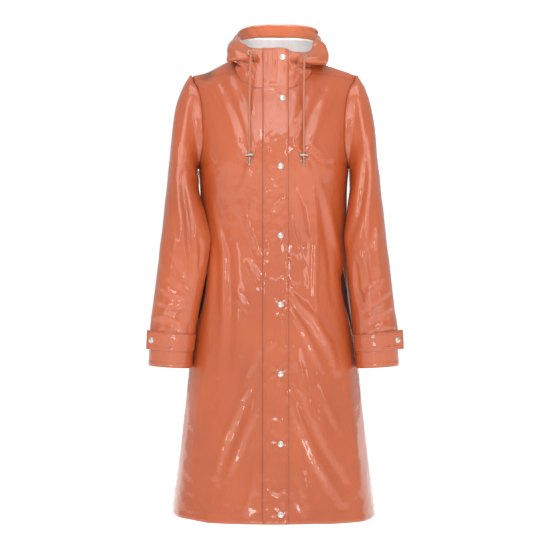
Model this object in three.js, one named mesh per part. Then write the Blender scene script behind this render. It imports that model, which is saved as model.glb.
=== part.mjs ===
import * as THREE from "three";

// A hooded raincoat, filled out as worn and open at neck, hem, cuffs and hood.
// Millimetres: the front faces -Y, +X is the viewer's right, +Z is up.
// The origin is the middle of the line between the shoulders, where the wearer carries the coat.

const clothWall = 1.6;
const flapWall = 2.4;
const flapGap = 0.5;
const bagGap = 1.1;
const liningWall = 1.2;
const layerGap = 0.35;
const seamGapDegrees = 0.1;
const bodyRowSteps = 22;
const neckGap = 0.8;
const hoodClearance = 6.3;
const hemZ = -1024;
const chestZ = -215;
const underarmZ = -232;
const ringBend = 2.3;
const archPower = 0.833;
const flapLeftX = -24.5;
const flapRightX = 33;
const leftFrontEdgeX = -21;
const rightFrontEdgeX = -20.2;
const snapCount = 8;
const snapPitch = 153.5;
const collarSnapZ = 12;
const firstSnapZ = -81;
const snapX = 15.5;
const topSnapX = 20;
const snapRadius = 6.7;
const snapHeight = 2.6;
const cordRadius = 2.4;
const cordEndZ = -206;
const toggleBarLength = 19;
const toggleBarRadius = 2.9;
const toggleTipLength = 20;
const toggleTipRadius = 2.4;
const eyeletOuter = 5.9;
const eyeletInner = 3.6;
const eyeletGap = 1.8;
const eyeletThick = 1.8;
const facingWidth = 30;
const strapOverhang = 10;
const strapFirstTurn = 170;
const strapLastTurn = 58;
const strapGap = 0.7;
const sleeveClearance = 3;
const armholeGapTop = 1.7;
const armholeGapLow = 3.2;
const frontOverlapTrim = 1.6;
const standTrim = 1;
const sleeveSteps = 20;
const degree = Math.PI / 180;

// The body's section by height: half width, and depth in front and behind.
const torsoRows = [
  { z: -1024, half: 231, front: 165, back: 165 },
  { z: -860, half: 211.5, front: 150, back: 148 },
  { z: -704, half: 195, front: 138, back: 135 },
  { z: -623, half: 187, front: 134, back: 131 },
  { z: -540, half: 178, front: 128, back: 124 },
  { z: -455, half: 171, front: 118, back: 111 },
  { z: -400, half: 168.5, front: 113, back: 104 },
  { z: -300, half: 168, front: 117, back: 106 },
  { z: -215, half: 172, front: 124, back: 110 },
  { z: -105, half: 182, front: 120, back: 110 },
  { z: -30, half: 190, front: 114, back: 108 },
  { z: 60, half: 196, front: 110, back: 106 },
];

// The shoulder line by distance from the middle.
const ridgeRows = [
  { x: 0, z: 52 },
  { x: 72, z: 26 },
  { x: 110, z: 11.5 },
  { x: 142, z: 0 },
  { x: 182, z: -15 },
  { x: 205, z: -26 },
];

// The neck seam from the centre front to the centre back: distance from the middle, and turn over the shoulder arch.
const neckRows = [
  { at: 0, x: 0, arch: 33, lift: 0.4 },
  { at: 1, x: 21, arch: 33, lift: 0.6 },
  { at: 2, x: 38, arch: 33.9, lift: 0.8 },
  { at: 3, x: 56, arch: 38.3, lift: 0.8 },
  { at: 4, x: 75, arch: 45, lift: 0.5 },
  { at: 5, x: 84, arch: 53, lift: 1.6 },
  { at: 6, x: 86, arch: 72, lift: 1.8 },
  { at: 7, x: 83, arch: 90, lift: 1.8 },
  { at: 8, x: 74, arch: 104, lift: 2.2 },
  { at: 9, x: 58, arch: 116, lift: 2.6 },
  { at: 10, x: 32, arch: 123, lift: 2.8 },
  { at: 11, x: 0, arch: 125, lift: 2.8 },
];

// The side seam by height: turn round the section from the centre front, and how far each pocket gapes there.
const sideSeamRows = [
  { z: -1024, turn: 90, gapeLeft: 0, gapeRight: 0 },
  { z: -860, turn: 89.5, gapeLeft: 0, gapeRight: 0 },
  { z: -704, turn: 86, gapeLeft: 0, gapeRight: 0 },
  { z: -628, turn: 79, gapeLeft: 0, gapeRight: 0 },
  { z: -590, turn: 76.5, gapeLeft: 3.5, gapeRight: 6.5 },
  { z: -545, turn: 73.5, gapeLeft: 5, gapeRight: 11 },
  { z: -500, turn: 70.8, gapeLeft: 4, gapeRight: 8.5 },
  { z: -462, turn: 68.3, gapeLeft: 0, gapeRight: 0 },
  { z: -398, turn: 63, gapeLeft: 0, gapeRight: 0 },
  { z: -330, turn: 70, gapeLeft: 0, gapeRight: 0 },
  { z: -280, turn: 80, gapeLeft: 0, gapeRight: 0 },
  { z: -232, turn: 90, gapeLeft: 0, gapeRight: 0 },
];

// Rows of a front part above the underarm: inner edge along the centre front and then the neck, outer edge along the armhole.
const frontTopRows = [
  { neck: 0, inRise: -9, outX: 167.5, outRise: -8 },
  { neck: 0, inRise: 1.2, outX: 164, outRise: 1 },
  { neck: 0, inRise: 5, outX: 160.5, outRise: 5 },
  { neck: 0, inRise: 11, outX: 159.5, outRise: 12 },
  { neck: 0, inRise: 17.5, outX: 160, outRise: 20 },
  { neck: 0, inRise: 24.5, outX: 161.5, outRise: 28 },
  { neck: 1, inRise: 0, outX: 164, outRise: 36 },
  { neck: 2, inRise: 0, outX: 168, outRise: 43.5 },
  { neck: 3, inRise: 0, outX: 173, outRise: 51 },
  { neck: 4, inRise: 0, outX: 179, outRise: 58 },
  { neck: 5, inRise: 0, outX: 184, outRise: 65 },
];

// Rows of the back above the underarm, up to the seam of the yoke.
const backTopRows = [
  { midRise: -9, outX: 167.5, outRise: -8 },
  { midRise: 1, outX: 164, outRise: 1 },
  { midRise: 4.5, outX: 161, outRise: 5 },
  { midRise: 10, outX: 160, outRise: 12 },
  { midRise: 15, outX: 160.5, outRise: 20 },
  { midRise: 20, outX: 162, outRise: 28 },
  { midRise: 25, outX: 164, outRise: 36 },
];

// The outer edge of the yoke, from the front seam over the shoulder to the back seam and the centre back.
const yokeRows = [
  { neck: 5, outX: 184, arch: 65 },
  { neck: 5.5, outX: 186, arch: 73 },
  { neck: 6, outX: 187, arch: 81 },
  { neck: 6.5, outX: 187, arch: 90 },
  { neck: 7, outX: 185.5, arch: 99 },
  { neck: 7.5, outX: 182, arch: 109 },
  { neck: 8, outX: 177, arch: 120 },
  { neck: 8.5, outX: 170.5, arch: 132 },
  { neck: 9, outX: 164, arch: 144 },
  { neck: 9.5, outX: 128, arch: 147.5 },
  { neck: 10, outX: 88, arch: 151 },
  { neck: 10.5, outX: 44, arch: 154 },
  { neck: 11, outX: 0, arch: 155 },
];

// A sleeve from the shoulder to the cuff: outer side, inner side for each sleeve, middle depth and half depth.
const sleeveRows = [
  { at: 1, outX: 199, outZ: -27, inLeft: 171, inRight: 171, inZ: -238, midY: -3, deep: 61 },
  { at: 2, outX: 210, outZ: -48, inLeft: 172, inRight: 173, inZ: -245, midY: -5, deep: 64 },
  { at: 3, outX: 220, outZ: -78, inLeft: 171, inRight: 174, inZ: -254, midY: -8, deep: 66 },
  { at: 4, outX: 227, outZ: -113, inLeft: 169, inRight: 174, inZ: -265, midY: -13, deep: 67 },
  { at: 5, outX: 232, outZ: -155, inLeft: 170, inRight: 174, inZ: -278, midY: -19, deep: 67 },
  { at: 6, outX: 236, outZ: -198, inLeft: 167, inRight: 172, inZ: -294, midY: -26, deep: 66 },
  { at: 7, outX: 240, outZ: -240, inLeft: 161, inRight: 169, inZ: -312, midY: -34, deep: 64 },
  { at: 8, outX: 243, outZ: -282, inLeft: 153, inRight: 166, inZ: -335, midY: -42, deep: 62 },
  { at: 9, outX: 247, outZ: -322, inLeft: 146, inRight: 162, inZ: -362, midY: -50, deep: 60 },
  { at: 10, outX: 251, outZ: -364, inLeft: 139, inRight: 159, inZ: -393, midY: -57, deep: 58 },
  { at: 11, outX: 256, outZ: -408, inLeft: 143, inRight: 163, inZ: -428, midY: -61, deep: 57 },
  { at: 12, outX: 261, outZ: -452, inLeft: 150, inRight: 166, inZ: -468, midY: -64, deep: 55 },
  { at: 13, outX: 266, outZ: -498, inLeft: 159, inRight: 170, inZ: -512, midY: -65, deep: 53 },
  { at: 14, outX: 272, outZ: -544, inLeft: 168, inRight: 175, inZ: -556, midY: -65, deep: 50 },
  { at: 15, outX: 278, outZ: -592, inLeft: 175, inRight: 180, inZ: -602, midY: -64, deep: 48 },
  { at: 16, outX: 281, outZ: -640, inLeft: 181, inRight: 184, inZ: -647, midY: -63, deep: 46 },
  { at: 17, outX: 283, outZ: -680, inLeft: 185, inRight: 187, inZ: -686, midY: -62, deep: 45 },
];

// The edge of the hood's opening, by place along the neck seam.
const rimRows = [
  { at: 0, xLeft: 0, xRight: 0, y: -88, zLeft: 33, zRight: 33 },
  { at: 1, xLeft: 21, xRight: 21, y: -88, zLeft: 33, zRight: 33 },
  { at: 2, xLeft: 38, xRight: 40, y: -86, zLeft: 33, zRight: 27 },
  { at: 3, xLeft: 54, xRight: 66, y: -80, zLeft: 36, zRight: 25 },
  { at: 4, xLeft: 70, xRight: 84, y: -64, zLeft: 48, zRight: 36 },
  { at: 5, xLeft: 79, xRight: 92, y: -38, zLeft: 63, zRight: 60 },
  { at: 6, xLeft: 83, xRight: 99, y: -12, zLeft: 72, zRight: 74 },
  { at: 7, xLeft: 84, xRight: 104, y: 16, zLeft: 81, zRight: 83 },
  { at: 8, xLeft: 80, xRight: 102, y: 44, zLeft: 92, zRight: 93 },
  { at: 9, xLeft: 64, xRight: 90, y: 68, zLeft: 105, zRight: 105 },
  { at: 10, xLeft: 32, xRight: 56, y: 84, zLeft: 113, zRight: 113 },
  { at: 11, xLeft: -14, xRight: 14, y: 91, zLeft: 115, zRight: 115 },
];

// The hood between neck seam and opening: four places given by how far out and up they lie from the seam.
const hoodRows = [
  { at: 0, heading: 0, out1: -2, up1: 18, out2: -5, up2: 40, out3: -8, up3: 60, out4: -11, up4: 78, up4Right: 78 },
  { at: 2, heading: 10, out1: -2, up1: 18, out2: -4, up2: 40, out3: -5, up3: 57, out4: -8, up4: 74, up4Right: 70 },
  { at: 3, heading: 30, out1: -1, up1: 18, out2: -2, up2: 38, out3: 9, up3: 43, out4: 10, up4: 64, up4Right: 55 },
  { at: 4, heading: 58, out1: 0, up1: 18, out2: 2, up2: 33, out3: 21, up3: 34, out4: 26, up4: 58, up4Right: 50 },
  { at: 5, heading: 75, out1: 3, up1: 14, out2: 9, up2: 24, out3: 27, up3: 23, out4: 33, up4: 48, up4Right: 44 },
  { at: 6, heading: 88, out1: 8, up1: 8, out2: 17, up2: 4, out3: 29, up3: 4, out4: 33, up4: 32, up4Right: 32 },
  { at: 7, heading: 96, out1: 9, up1: 3, out2: 19, up2: -3, out3: 32, up3: -6, out4: 38, up4: 24, up4Right: 24 },
  { at: 8, heading: 124, out1: 14, up1: -2, out2: 28, up2: -18, out3: 44, up3: -22, out4: 54, up4: 18, up4Right: 18 },
  { at: 9, heading: 150, out1: 22, up1: -16, out2: 42, up2: -74, out3: 64, up3: -80, out4: 78, up4: -4, up4Right: -4 },
  { at: 10, heading: 168, out1: 28, up1: -30, out2: 50, up2: -132, out3: 78, up3: -140, out4: 92, up4: -24, up4Right: -24 },
  { at: 11, heading: 180, out1: 30, up1: -36, out2: 52, up2: -152, out3: 84, up3: -162, out4: 97, up4: -36, up4Right: -36 },
];

// Soft folds that run down the body and grow towards the hem, by turn from the centre front.
const drapeRows = [
  { turn: -165, top: -430, wide: 11, deep: 7 },
  { turn: -128, top: -380, wide: 9, deep: 6 },
  { turn: -98, top: -500, wide: 7, deep: 5 },
  { turn: -62, top: -640, wide: 6, deep: 3 },
  { turn: -34, top: -480, wide: 7, deep: 4 },
  { turn: 30, top: -560, wide: 6, deep: 3.5 },
  { turn: 57, top: -420, wide: 8, deep: 4.5 },
  { turn: 94, top: -520, wide: 6, deep: 4 },
  { turn: 121, top: -400, wide: 9, deep: 6.5 },
  { turn: 158, top: -470, wide: 12, deep: 7.5 },
];

// A value of a table's column at a place between its rows, on a smooth curve through them.
function along(rows, key, column, place) {
  const last = rows.length - 1;
  if (place <= rows[0][key]) return rows[0][column];
  if (place >= rows[last][key]) return rows[last][column];
  let i = 0;
  while (rows[i + 1][key] < place) i += 1;
  const slope = (a, b) => (rows[b][column] - rows[a][column]) / (rows[b][key] - rows[a][key]);
  const span = rows[i + 1][key] - rows[i][key];
  const t = (place - rows[i][key]) / span;
  const first = slope(Math.max(i - 1, 0), i + 1) * span;
  const second = slope(i, Math.min(i + 2, last)) * span;
  const t2 = t * t;
  const t3 = t2 * t;
  return (
    (2 * t3 - 3 * t2 + 1) * rows[i][column] +
    (t3 - 2 * t2 + t) * first +
    (3 * t2 - 2 * t3) * rows[i + 1][column] +
    (t3 - t2) * second
  );
}

const mix = (a, b, t) => a + (b - a) * t;
const power = (value, exponent) => Math.sign(value) * Math.abs(value) ** exponent;
const torso = (z, column) => along(torsoRows, "z", column, z);
const ridge = (x) => along(ridgeRows, "x", "z", Math.abs(x));

// How far the body's surface swells out at a turn (degrees from the centre front, + to the right) and height.
function drape(turn, z) {
  let sum = 0;
  for (const row of drapeRows) {
    if (z >= row.top) continue;
    const away = ((turn - row.turn + 540) % 360) - 180;
    const grow = ((row.top - z) / (row.top - hemZ)) ** 1.3;
    sum += row.deep * grow * Math.exp(-((away / row.wide) ** 2));
  }
  return sum;
}

// A point of the body below the armpits.
function ringPoint(turn, z, out = 0) {
  const half = torso(z, "half");
  const forward = Math.cos(turn * degree);
  const depth = torso(z, forward > 0 ? "front" : "back");
  const x = half * power(Math.sin(turn * degree), 2 / ringBend);
  const y = -depth * power(forward, 2 / ringBend);
  const normal = new THREE.Vector3(x / half ** 2, y / depth ** 2, 0).normalize();
  return new THREE.Vector3(x, y, z).addScaledVector(normal, out + drape(turn, z));
}

// A point of the body above the armpits: arch runs from 0 at the front over the shoulder to 180 at the back.
function archPoint(x, arch) {
  const lift = Math.sin(arch * degree) ** archPower;
  const z = chestZ + (ridge(x) - chestZ) * lift;
  const share = Math.min(Math.abs(x) / torso(z, "half"), 1);
  const round = (1 - share ** ringBend) ** (1 / ringBend);
  const depth = torso(z, arch < 90 ? "front" : "back");
  return new THREE.Vector3(x, -depth * round * power(Math.cos(arch * degree), archPower), z);
}

// The turn at which a point of the section lies at a distance x from the middle.
const turnOf = (x, half) => Math.asin(Math.min(Math.abs(x) / half, 1) ** (ringBend / 2)) / degree;

// A point of the front or back: rise is millimetres below the armpits when negative, degrees of arch when positive.
function bodyPoint(x, rise, isBack) {
  if (rise > 0) return archPoint(x, isBack ? 180 - rise : rise);
  const z = chestZ + rise;
  const turn = turnOf(x, torso(z, "half")) * Math.sign(x || 1);
  return ringPoint(isBack ? Math.sign(x || 1) * 180 - turn : turn, z);
}

// The height field of the front or back, used to lay things on the body or keep them clear of it.
function surfaceY(x, z, isBack) {
  const half = torso(z, "half");
  const depth = torso(z, isBack ? "back" : "front");
  const share = Math.min(Math.abs(x) / half, 1);
  const round = (1 - share ** ringBend) ** (1 / ringBend);
  const climb = Math.min(Math.max((z - chestZ) / (ridge(x) - chestZ), 0), 1);
  const arch = (1 - climb ** (2 / archPower)) ** (archPower / 2);
  return (isBack ? 1 : -1) * depth * round * arch;
}

// Moves a point that lies in the body, or nearer to it than the clearance, out by the shortest way.
function clearOfBody(point, clearance) {
  const isBack = point.y > 0;
  const sign = isBack ? 1 : -1;
  if (point.z < chestZ) {
    const half = torso(point.z, "half") + 2 * clearance;
    const depth = torso(point.z, isBack ? "back" : "front") + 2 * clearance;
    const share = (Math.abs(point.x) / half) ** ringBend + (Math.abs(point.y) / depth) ** ringBend;
    if (share >= 1) return point;
    const grow = Math.max(share, 0.2) ** (-1 / ringBend);
    return new THREE.Vector3(point.x * grow, point.y * grow, point.z);
  }
  const wanted = surfaceY(point.x, Math.min(point.z, ridge(point.x)), isBack) + sign * clearance;
  if (point.z > ridge(point.x) + clearance || sign * (point.y - wanted) >= 0) return point;
  const reach = Math.abs(surfaceY(point.x, chestZ, isBack));
  const share = Math.min(Math.abs(point.y) / reach, 1);
  const arch = (1 - share ** (2 / archPower)) ** (archPower / 2);
  const top = chestZ + (ridge(point.x) - chestZ) * arch + clearance;
  return top > point.z && top - point.z < Math.abs(wanted - point.y)
    ? new THREE.Vector3(point.x, point.y, top)
    : new THREE.Vector3(point.x, wanted, point.z);
}

// The direction out of a grid at each node, long enough to keep a layer's distance from the cells that meet there.
function gridNormals(grid, closed) {
  const cell = (v, u) => {
    const row = grid[v];
    const next = (u + 1) % row.length;
    const across = row[next].clone().sub(row[u]).add(grid[v + 1][next]).sub(grid[v + 1][u]);
    const up = grid[v + 1][u].clone().sub(row[u]).add(grid[v + 1][next]).sub(row[next]);
    return across.cross(up).normalize();
  };
  return grid.map((row, v) =>
    row.map((_, u) => {
      const cells = [];
      for (const below of [v - 1, v]) {
        if (below < 0 || below > grid.length - 2) continue;
        for (const before of [u - 1, u]) {
          if (closed) cells.push(cell(below, (before + row.length) % row.length));
          else if (before >= 0 && before < row.length - 1) cells.push(cell(below, before));
        }
      }
      const sum = cells.reduce((total, one) => total.add(one), new THREE.Vector3()).normalize();
      const least = Math.min(...cells.map((one) => one.dot(sum)));
      return sum.multiplyScalar(1 / Math.max(least, 0.6));
    }),
  );
}

// A closed solid wall on a grid of points; out moves its middle from the grid along the normals.
function wallOf(grid, wall, { closed = false, out = 0, flip = false, normals = gridNormals(grid, closed) } = {}) {
  const rows = grid.length;
  const columns = grid[0].length;
  const side = flip ? -1 : 1;
  const positions = [];
  for (const offset of [out + wall / 2, out - wall / 2]) {
    for (let v = 0; v < rows; v += 1) {
      for (let u = 0; u < columns; u += 1) {
        const p = grid[v][u].clone().addScaledVector(normals[v][u], side * offset);
        positions.push(p.x, p.y, p.z);
      }
    }
  }
  const index = [];
  const node = (face, v, u) => face * rows * columns + v * columns + (u % columns);
  const quad = (a, b, c, d) => index.push(a, b, c, a, c, d);
  const spans = closed ? columns : columns - 1;
  for (let v = 0; v < rows - 1; v += 1) {
    for (let u = 0; u < spans; u += 1) {
      quad(node(0, v, u), node(0, v, u + 1), node(0, v + 1, u + 1), node(0, v + 1, u));
      quad(node(1, v, u), node(1, v + 1, u), node(1, v + 1, u + 1), node(1, v, u + 1));
    }
  }
  for (let u = 0; u < spans; u += 1) {
    quad(node(0, 0, u), node(1, 0, u), node(1, 0, u + 1), node(0, 0, u + 1));
    const v = rows - 1;
    quad(node(0, v, u), node(0, v, u + 1), node(1, v, u + 1), node(1, v, u));
  }
  if (!closed) {
    for (let v = 0; v < rows - 1; v += 1) {
      quad(node(0, v, 0), node(0, v + 1, 0), node(1, v + 1, 0), node(1, v, 0));
      const u = columns - 1;
      quad(node(0, v, u), node(1, v, u), node(1, v + 1, u), node(0, v + 1, u));
    }
  }
  if (flip) {
    for (let i = 0; i < index.length; i += 3) {
      [index[i + 1], index[i + 2]] = [index[i + 2], index[i + 1]];
    }
  }
  const geometry = new THREE.BufferGeometry();
  geometry.setAttribute("position", new THREE.Float32BufferAttribute(positions, 3));
  geometry.setIndex(index);
  return geometry;
}

const coat = new THREE.Group();
coat.name = "raincoat";
const coatColour = 0xd4734f;
const liningColour = 0xece4e2;
const metalColour = 0xd8d0c0;

function add(name, geometry, color = coatColour) {
  const flat = geometry.index ? geometry.toNonIndexed() : geometry;
  flat.computeVertexNormals();
  const material = new THREE.MeshStandardMaterial({ color, roughness: 0.35, side: THREE.DoubleSide });
  material.name = name;
  const mesh = new THREE.Mesh(flat, material);
  mesh.name = name;
  coat.add(mesh);
  return mesh;
}

// Heights of the rows below the underarm.
function lowHeights(steps) {
  return Array.from({ length: steps + 1 }, (_, i) => mix(hemZ, underarmZ, i / steps));
}

const neckX = (at) => Math.sign(at || 1) * along(neckRows, "at", "x", Math.abs(at));
const neckPoint = (at) => archPoint(neckX(at), along(neckRows, "at", "arch", Math.abs(at)));

// A front part from its edge at the centre to the side seam, the armhole and the forward shoulder seam.
function frontGrid(side, edgeX) {
  const columns = 11;
  const grid = [];
  const gape = side < 0 ? "gapeLeft" : "gapeRight";
  for (const z of lowHeights(bodyRowSteps)) {
    const half = torso(z, "half");
    const start = (turnOf(edgeX, half) * Math.sign(edgeX)) / side;
    const slot = along(sideSeamRows, "z", gape, z) / torso(z, "front") / degree;
    const end = along(sideSeamRows, "z", "turn", z) - seamGapDegrees - Math.max(slot, 0);
    grid.push(
      Array.from({ length: columns + 1 }, (_, u) =>
        ringPoint(side * mix(start, end, u / columns), z),
      ),
    );
  }
  for (const row of frontTopRows) {
    const inX = row.neck > 1 ? side * along(neckRows, "at", "x", row.neck) : edgeX;
    const underFlap = row.neck === 1 && side > 0 ? frontOverlapTrim : 0;
    const inRise = row.neck > 0 ? along(neckRows, "at", "arch", row.neck) - underFlap : row.inRise;
    const half = torso(chestZ, "half") + 4;
    const start = (turnOf(inX, half) * Math.sign(inX)) / side;
    const end = turnOf(Math.min(row.outX, half), half);
    const span = row.outX - inX * side;
    grid.push(
      Array.from({ length: columns + 1 }, (_, u) => {
        const warp = power(Math.sin(mix(start, end, u / columns) * degree), 2 / ringBend);
        const first = power(Math.sin(start * degree), 2 / ringBend);
        const last = power(Math.sin(end * degree), 2 / ringBend);
        const share = (warp - first) / (last - first);
        return bodyPoint(side * (inX * side + span * share), mix(inRise, row.outRise, share), false);
      }),
    );
  }
  return grid;
}

add("front_left", wallOf(frontGrid(-1, leftFrontEdgeX), clothWall, { flip: true }));
add("front_right", wallOf(frontGrid(1, rightFrontEdgeX), clothWall));

// The back, one part from side seam to side seam.
function backGrid() {
  const columns = 20;
  const grid = [];
  for (const z of lowHeights(bodyRowSteps)) {
    const end = 180 - along(sideSeamRows, "z", "turn", z) - seamGapDegrees;
    grid.push(
      Array.from({ length: columns + 1 }, (_, u) => ringPoint(180 + mix(-end, end, u / columns), z)),
    );
  }
  for (const row of backTopRows) {
    const half = torso(chestZ, "half") + 4;
    const end = turnOf(row.outX, half);
    grid.push(
      Array.from({ length: columns + 1 }, (_, u) => {
        const turn = mix(end, -end, u / columns);
        const share = power(Math.sin(turn * degree) / Math.sin(end * degree), 2 / ringBend);
        const rise = mix(row.midRise, row.outRise, share * share);
        return bodyPoint(row.outX * share, rise, true);
      }),
    );
  }
  return grid;
}

add("back", wallOf(backGrid(), clothWall));

// The yoke: a U round the neck, its outer edge along the armholes and the back seam.
function yokeGrid() {
  const steps = 6;
  const seamShare = 0.006;
  const stations = [
    ...yokeRows.map((row) => ({ ...row, side: -1 })),
    ...yokeRows
      .slice(0, -1)
      .reverse()
      .map((row) => ({ ...row, side: 1 })),
  ];
  return Array.from({ length: steps + 1 }, (_, v) =>
    stations.map((row) => {
      const inX = along(neckRows, "at", "x", row.neck);
      const inArch = along(neckRows, "at", "arch", row.neck);
      const share = mix(0, 1 - seamShare, v / steps);
      const frontTrim = row.neck === 5 ? 0.35 : 0;
      return archPoint(
        row.side * mix(inX, row.outX, share),
        mix(inArch, row.arch, share) + frontTrim,
      );
    }),
  );
}

add("yoke", wallOf(yokeGrid(), clothWall, { flip: true }));

// The armhole from the shoulder down the front to the underarm, or down the back.
function armholeEdge(isBack) {
  const yokePart = yokeRows
    .filter((row) => row.outX > 160 && (isBack ? row.arch >= 90 : row.arch <= 90))
    .map((row) => archPoint(row.outX, row.arch));
  if (!isBack) yokePart.reverse();
  const panelRows = isBack ? backTopRows : frontTopRows;
  const panelPart = panelRows.map((row) => bodyPoint(row.outX, row.outRise, isBack)).reverse();
  const underarm = ringPoint(90, underarmZ);
  return [...yokePart, ...panelPart.slice(1), underarm];
}

// Points at equal steps along a line of points.
function evenly(points, steps) {
  const curve = new THREE.CatmullRomCurve3(points, false, "centripetal");
  curve.arcLengthDivisions = 200;
  return curve.getSpacedPoints(steps);
}

// A sleeve: rings that fan out from the armhole, then run down to the cuff.
function sleeveRing(side, at, steps) {
  const value = (column) => along(sleeveRows, "at", column, Math.max(at, 1));
  const outer = new THREE.Vector3(value("outX"), value("midY"), value("outZ"));
  const inner = new THREE.Vector3(value(side < 0 ? "inLeft" : "inRight"), value("midY"), value("inZ"));
  const middle = outer.clone().add(inner).multiplyScalar(0.5);
  const across = outer.clone().sub(middle);
  return Array.from({ length: steps }, (_, i) => {
    const turn = (i / steps) * 360 * degree;
    const point = middle
      .clone()
      .addScaledVector(across, power(Math.cos(turn), 0.9))
      .add(new THREE.Vector3(0, -value("deep") * power(Math.sin(turn), 0.9), 0));
    return clearOfBody(point, sleeveClearance);
  });
}

function armholeRing(steps) {
  const front = evenly(armholeEdge(false), steps / 2);
  const back = evenly(armholeEdge(true), steps / 2);
  const loop = [...front, ...back.slice(1, -1).reverse()];
  return loop.map((point, i) => {
    const low = Math.max(0, -Math.cos((i / steps) * 360 * degree)) ** 2;
    return point.clone().add(new THREE.Vector3(mix(armholeGapTop, armholeGapLow, low), 0, 0));
  });
}

function sleeveGrid(side) {
  const first = armholeRing(sleeveSteps);
  const places = [1, 1.8, 2.6, 3.4, 4.2, 5, 6, 7, 8, 9, 10, 11, 12, 13, 14, 15, 16, 17];
  const rings = [first];
  for (const at of places) {
    const ring = sleeveRing(side, at, sleeveSteps);
    const keep = Math.max(0, 1 - at / 3.2) ** 2 * 0.6;
    rings.push(ring.map((point, i) => point.clone().lerp(first[i], keep)));
  }
  return rings.map((ring) => ring.map((p) => new THREE.Vector3(side * p.x, p.y, p.z)));
}

add("sleeve_left", wallOf(sleeveGrid(-1), clothWall, { closed: true, flip: true }));
add("sleeve_right", wallOf(sleeveGrid(1), clothWall, { closed: true }));

// A cuff strap lies on the front of the sleeve, its outer end free past the sleeve's side.
function strapGrid(side) {
  const rows = 3;
  const columns = 11;
  const ringSteps = 72;
  return Array.from({ length: rows + 1 }, (_, v) => {
    const at = mix(16.05, 15.15, v / rows);
    const ring = sleeveRing(side, at, ringSteps);
    const spot = (turn) => {
      const place = (((turn % 360) + 360) % 360) / (360 / ringSteps);
      const i = Math.floor(place);
      return ring[i % ringSteps].clone().lerp(ring[(i + 1) % ringSteps], place - i);
    };
    const points = [];
    for (let u = 0; u < columns; u += 1) {
      points.push(spot(mix(strapFirstTurn, strapLastTurn, u / (columns - 1))));
    }
    const end = points[points.length - 1];
    const heading = end.clone().sub(points[points.length - 2]);
    const reach = (spot(0).x + strapOverhang - end.x) / heading.x;
    for (const share of [0.35, 0.7, 1]) {
      points.push(end.clone().addScaledVector(heading, reach * share));
    }
    return points.map((p) => new THREE.Vector3(side * p.x, p.y, p.z));
  });
}

const strapOut = clothWall + strapGap;
const straps = {
  left: strapGrid(-1),
  right: strapGrid(1),
};
add("cuff_strap_left", wallOf(straps.left, clothWall, { out: strapOut, flip: true }));
add("cuff_strap_right", wallOf(straps.right, clothWall, { out: strapOut }));

// The line of the hood's cloth from the neck seam to the edge of the opening, at a place round the neck.
function hoodLine(at) {
  const side = at < 0 ? -1 : 1;
  const place = Math.abs(at);
  const seam = neckPoint(at);
  seam.z += neckGap + along(neckRows, "at", "lift", place);
  const value = (column) => along(hoodRows, "at", column, place);
  const heading = value("heading") * degree;
  const outward = new THREE.Vector3(side * Math.sin(heading), -Math.cos(heading), 0);
  const points = [seam];
  for (const n of [1, 2, 3, 4]) {
    const point = seam.clone().addScaledVector(outward, value("out" + n));
    point.z += value(n === 4 && side > 0 ? "up4Right" : "up" + n);
    points.push(place > 3.5 ? clearOfBody(point, hoodClearance) : point);
  }
  const name = side < 0 ? "Left" : "Right";
  points.push(
    new THREE.Vector3(
      side * along(rimRows, "at", "x" + name, place),
      along(rimRows, "at", "y", place),
      along(rimRows, "at", "z" + name, place),
    ),
  );
  const curve = new THREE.CatmullRomCurve3(points, false, "centripetal");
  curve.arcLengthDivisions = 120;
  return curve;
}

// The hood's columns run from the centre front round the left side: 11 is the centre back, 22 the centre front again.
const sideSeamTurn = 9.75;
const seamTrim = 0.012;
const leftTurns = [1, 2, 3, 4, 5, 5.5, 6, 6.5, 7, 7.5, 8, 8.5, 9, sideSeamTurn, 10.4];
const mirrored = leftTurns.map((turn) => 22 - turn).reverse();
const hoodTurns = [...leftTurns, 11, ...mirrored, 22, 22.96];
const liningSteps = 10;
const facingSteps = 2;

function hoodColumn(turn) {
  const at = turn > 11 ? 22 - turn : -turn;
  const curve = hoodLine(at);
  const facingStart = 1 - facingWidth / curve.getLength();
  const shares = [];
  for (let i = 0; i < liningSteps; i += 1) shares.push((facingStart * i) / liningSteps);
  for (let i = 0; i <= facingSteps; i += 1) shares.push(mix(facingStart, 1, i / facingSteps));
  return shares.map((share, i) => {
    const point = curve.getPointAt(share);
    return i > 0 && Math.abs(at) > 3.5 ? clearOfBody(point, hoodClearance) : point;
  });
}

const turned = (columns) => columns[0].map((_, v) => columns.map((column) => column[v]));
const hoodGrid = turned(hoodTurns.map(hoodColumn));
const hoodNormals = gridNormals(hoodGrid, false);

// A part of the hood between two of its columns, and between two of its rows.
function hoodPart(firstColumn, lastColumn, firstRow = 0, lastRow = liningSteps + facingSteps) {
  const cut = (rows) =>
    rows.slice(firstRow, lastRow + 1).map((row) => row.slice(firstColumn, lastColumn + 1).map((p) => p.clone()));
  return { grid: cut(hoodGrid), normals: cut(hoodNormals) };
}

// Puts another column of points in the place of one at a part's edge, to leave the seam's gap.
function trimColumn(part, index, turn) {
  const column = hoodColumn(turn);
  part.grid.forEach((row, v) => row[index].copy(column[v]));
}

const leftSeam = hoodTurns.indexOf(sideSeamTurn);
const rightSeam = hoodTurns.indexOf(22 - sideSeamTurn);
const hoodLeft = hoodPart(0, leftSeam);
trimColumn(hoodLeft, leftSeam, sideSeamTurn - seamTrim);
const hoodCentre = hoodPart(leftSeam, rightSeam);
trimColumn(hoodCentre, 0, sideSeamTurn + seamTrim);
trimColumn(hoodCentre, rightSeam - leftSeam, 22 - sideSeamTurn - seamTrim);
const hoodRight = hoodPart(rightSeam, hoodTurns.length - 1);
trimColumn(hoodRight, 0, 22 - sideSeamTurn + seamTrim);

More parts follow.
